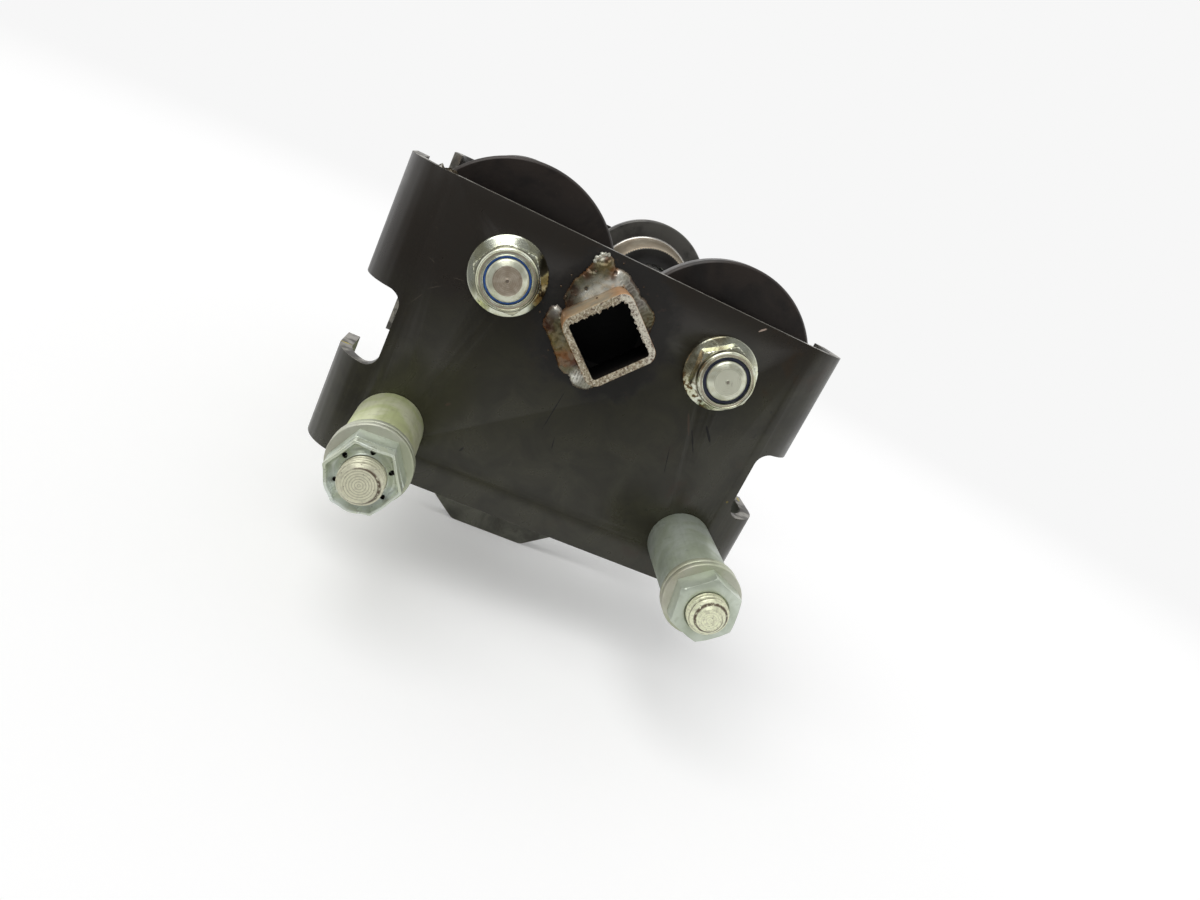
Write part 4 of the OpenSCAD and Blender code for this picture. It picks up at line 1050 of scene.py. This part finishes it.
RUST_INSET, RUST_WIDE, RIB_PITCH, SPATTER_TINT = 0.4, 0.5, {LEFT: 1.7, RIGHT: 1.5}, (0.14, 0.09, 0.055)
WELD_LOW, WELD_HIGH = (-24.5, -20.5), (23.5, 29.0)


def backed(shape):
    """Closes an open sheet with a copy of its faces, and gives the copy's vertices."""
    made = bmesh.ops.extrude_face_region(shape, geom=shape.faces[:], use_keep_orig=True)["geom"]
    return [vertex for vertex in made if isinstance(vertex, bmesh.types.BMVert)]


def inside_outline(a, u):
    """How far a point lies inside the weld's outline, below zero outside it."""
    nearest_edge, inside = 99.0, False
    for (a0, u0), (a1, u1) in zip(WELD_OUTLINE, WELD_OUTLINE[1:] + WELD_OUTLINE[:1]):
        along_a, along_u = a1 - a0, u1 - u0
        share = ((a - a0) * along_a + (u - u0) * along_u) / (along_a ** 2 + along_u ** 2)
        share = min(1.0, max(0.0, share))
        nearest_edge = min(nearest_edge, hypot(a - a0 - share * along_a, u - u0 - share * along_u))
        if (u0 > u) != (u1 > u) and a < a0 + (u - u0) * along_a / along_u:
            inside = not inside
    return nearest_edge if inside else -nearest_edge


def weld_ribs(a, u):
    """Ripples of the two ribbed beads: down the right side and round the lower left corner."""
    if a > 12.5 and u < 16.0:
        return 0.11 * sin(2 * pi * (u + 0.08 * (a - 17.0) ** 2) / RIB_PITCH[RIGHT])
    if a < -11.0 and u < -8.5:
        return 0.15 * sin(2 * pi * (a - u) / RIB_PITCH[LEFT])
    return 0.0


def weld_at(across, up):
    """Height over the plate and tint of the weld beside the tube."""
    place = Vector((across, up, 0.0))
    shift = drift(place * 0.4) * 0.5 + drift(place * 1.2) * 0.16
    a, u = across + shift.x, up + shift.y
    height, share_sum, tint = 0.0, 1e-9, Vector((0.0, 0.0, 0.0))
    for middle_a, middle_u, r, lump_height, color in LUMPS:
        share = exp(-LUMP_FALL * ((a - middle_a) ** 2 + (u - middle_u) ** 2) / r ** 2)
        share_sum += share
        height += lump_height * share
        tint += Vector(color) * share
    height, tint = height / share_sum, tint / share_sum
    inset = inside_outline(a, u)
    height *= (1.0 - (1.0 - min(1.0, max(0.0, inset) / WELD_ROUND)) ** 2) ** 0.6
    tint = tint.lerp(Vector(ORANGE), 0.5 * exp(-((inset - RUST_INSET) / RUST_WIDE) ** 2))
    if inset > 0.0:
        deep = min(1.0, height / 1.5)
        height += deep * (weld_ribs(a, u) + 0.3 * noise.noise(place * 0.6)) + 0.04 * noise.noise(place * 4.0)
        for pit_a, pit_u, r in PITS:
            dent = exp(-((a - pit_a) ** 2 + (u - pit_u) ** 2) / r ** 2)
            height -= PIT_DEPTH * dent * min(1.0, height)
            tint = tint.lerp(Vector(DARK), 0.8 * dent)
    for middle_a, middle_u, r, tooth_height in CRUSTS:
        near = ((across - middle_a) ** 2 + (up - middle_u) ** 2) / r ** 2
        if near < 1.0:
            height = max(height, tooth_height * (1.0 - near) ** 0.5 + 0.8 * noise.noise(place * 2.4))
            tint = tint.lerp(Vector(CRUST), min(1.0, 1.6 * (1.0 - near)))
    return max(0.0, height), tint


def weld_bead():
    shape = bmesh.new()
    size = [high - low for low, high in zip(WELD_LOW, WELD_HIGH)]
    columns, rows = [int(length / WELD_STEP) for length in size]
    bmesh.ops.create_grid(shape, x_segments=columns, y_segments=rows, size=0.5)
    tints = shape.verts.layers.float_color.new("tint")
    heights = {}
    for vertex in shape.verts:
        across, up = [low + (share + 0.5) * length for low, share, length in zip(WELD_LOW, vertex.co, size)]
        height, tint = weld_at(across, up)
        covered = max(abs(across), abs(up)) < TUBE_HALF - CUT_INSET
        heights[vertex] = 0.0 if covered else height
        vertex[tints] = (*tint, 1.0)
        vertex.co = tube_to_part((across, height, up))
    flat = [face for face in shape.faces if min(heights[vertex] for vertex in face.verts) <= 0.0]
    bmesh.ops.delete(shape, geom=flat, context="FACES")
    for vertex in backed(shape):
        vertex.co.y = -(OUTER_Y - WELD_SUNK) * MM
    for across, up, out, r in SPATTER:
        where = Matrix.Translation(tube_to_part((across, out + r * 0.3, up)))
        ball = bmesh.ops.create_icosphere(shape, subdivisions=2, radius=r * MM, matrix=where)["verts"]
        for vertex in ball:
            vertex[tints] = (*SPATTER_TINT, 1.0)
    bmesh.ops.recalc_face_normals(shape, faces=shape.faces)
    make_piece(shape, "tube_weld_bead", [WELD], ["tube_weld"])


weld_bead()


# Burr: a thin crumpled flake of metal that stands on the front plate's top edge
BURR_POINTS = [
    # X, height over the edge, lean toward the front
    (-85.6, 0.2, 0.0), (-84.9, 0.9, -0.4), (-84.1, 1.7, -0.2), (-83.3, 1.4, 0.3), (-82.5, 0.9, 0.5),
    (-81.6, 1.3, 0.2), (-80.7, 1.5, -0.4), (-79.7, 1.2, 0.1), (-78.6, 1.4, 0.5), (-77.6, 0.9, 0.2),
    (-76.8, 0.2, 0.0),
]
BURR_Y, BURR_SHEET = -126.2, 0.3


def plate_burr():
    shape = bmesh.new()
    columns = len(BURR_POINTS) - 1
    bmesh.ops.create_grid(shape, x_segments=columns, y_segments=4, size=0.5)
    for vertex in shape.verts:
        x, height, lean = BURR_POINTS[round((vertex.co.x + 0.5) * columns)]
        rise = vertex.co.y + 0.5
        y = BURR_Y - lean * rise * 1.6 + 0.8 * sin(rise * 2.6)
        place = Vector((x, y, PLATE_TOP_Z - 0.4 + height * rise))
        place += drift(place * 0.9) * 0.35 * min(1.0, rise * 2)
        vertex.co = place * MM
    bmesh.ops.subdivide_edges(shape, edges=shape.edges, cuts=2, use_grid_fill=True)
    for vertex in shape.verts:
        vertex.co += drift(vertex.co / MM * 1.4) * 0.2 * MM
    bmesh.ops.translate(shape, vec=(0, BURR_SHEET * MM, 0), verts=backed(shape))
    bmesh.ops.recalc_face_normals(shape, faces=shape.faces)
    make_piece(shape, "front_plate_burr", [BURR])


plate_burr()


# Stage: a white floor under the suspension plates, a white surround, one soft lamp.
# Mirrored rays see a dim room behind the camera, over a floor that is bright near the part.
WALL_WHITE, EVEN_LIGHT = 0.93, 0.55
ROOM_BACK = Vector((-0.1, -0.97, 0.1)).normalized()
ROOM_DOWN = Vector((0.529, 0.0, -0.849))
ROOM_DIM = 0.1
PLATE_MIDDLE = (0.0, -0.128, 0.12)
FLOOR_R, FLOOR_GLOW, FLOOR_FADE = 12.0, 0.2, (0.7, 1.6)
SUN_POWER, SUN_SPREAD, SUN_WAY = 1.5, 50.0, (0.45, 0.35, -0.82)


def room_light(nodes, way):
    """How bright the room is toward a direction, as gloss sees it."""
    back = nodes.within(nodes.vector("DOT_PRODUCT", way, ROOM_BACK), 0.0, 0.5)
    above = nodes.within(nodes.vector("DOT_PRODUCT", way, ROOM_DOWN), 0.03, 0.27, 1.0, 0.0)
    return nodes.blend(nodes.times(back, above), 1.0, ROOM_DIM)


def floor_finish():
    """White floor: it keeps the part's shadow, and fades into the wall's white far away."""
    f = Finish("floor_white", specular=0.0)
    path = f.node("LightPath").outputs
    way = f.vector("NORMALIZE", f.vector("SUBTRACT", f.place, PLATE_MIDDLE))
    mirrored = f.blend(path["Is Glossy Ray"], 1.0, room_light(f, way))
    f.done(f.mix(mirrored, (0.0, 0.0, 0.0), (0.86, 0.86, 0.86)), 1.0)
    fade = f.times(path["Is Camera Ray"], f.within(f.vector("LENGTH", f.place), *FLOOR_FADE))
    glow = f.node("Emission", {"Strength": f.times(path["Is Camera Ray"], FLOOR_GLOW)})
    near = f.node("AddShader", {0: f.shader.outputs[0], 1: glow.outputs[0]})
    far = f.node("Emission", {"Strength": WALL_WHITE})
    both = f.node("MixShader", {0: fade, 1: near.outputs[0], 2: far.outputs[0]})
    f.fill(f.tree.nodes["Material Output"], {"Surface": both.outputs[0]})
    return f.material


ground = bmesh.new()
bmesh.ops.create_circle(ground, cap_ends=True, segments=96, radius=FLOOR_R)
floor = as_object(ground, "floor")
floor.data.materials.append(floor_finish())


def surround():
    """White as seen, a room with a dim side as mirrored, even as light on dull faces."""
    world = bpy.data.worlds.new("surround")
    bpy.context.scene.world = world
    nodes = Nodes(world)
    path = nodes.node("LightPath").outputs
    strength = room_light(nodes, nodes.node("TexCoord").outputs["Generated"])
    strength = nodes.blend(path["Is Diffuse Ray"], strength, EVEN_LIGHT)
    strength = nodes.blend(path["Is Camera Ray"], strength, WALL_WHITE)
    nodes.fill(nodes.tree.nodes["Background"], {"Strength": strength, "Color": (1.0, 1.0, 1.0)})


surround()


def placed(name, data, turn, place=(0, 0, 0)):
    made = bpy.data.objects.new(name, data)
    bpy.context.scene.collection.objects.link(made)
    made.location = place
    made.rotation_euler = turn
    return made


overhead = bpy.data.lights.new("overhead", "SUN")
overhead.energy = SUN_POWER
overhead.angle = radians(SUN_SPREAD)
placed("overhead", overhead, Vector(SUN_WAY).to_track_quat("-Z", "Y").to_euler())

eye = bpy.data.cameras.new("camera")
eye.sensor_width, eye.lens = CAMERA_SENSOR, CAMERA_LENS
turn = [radians(angle) for angle in CAMERA_TURN]
bpy.context.scene.camera = placed("camera", eye, turn, CAMERA_PLACE)
bpy.context.scene.view_settings.view_transform = "Standard"
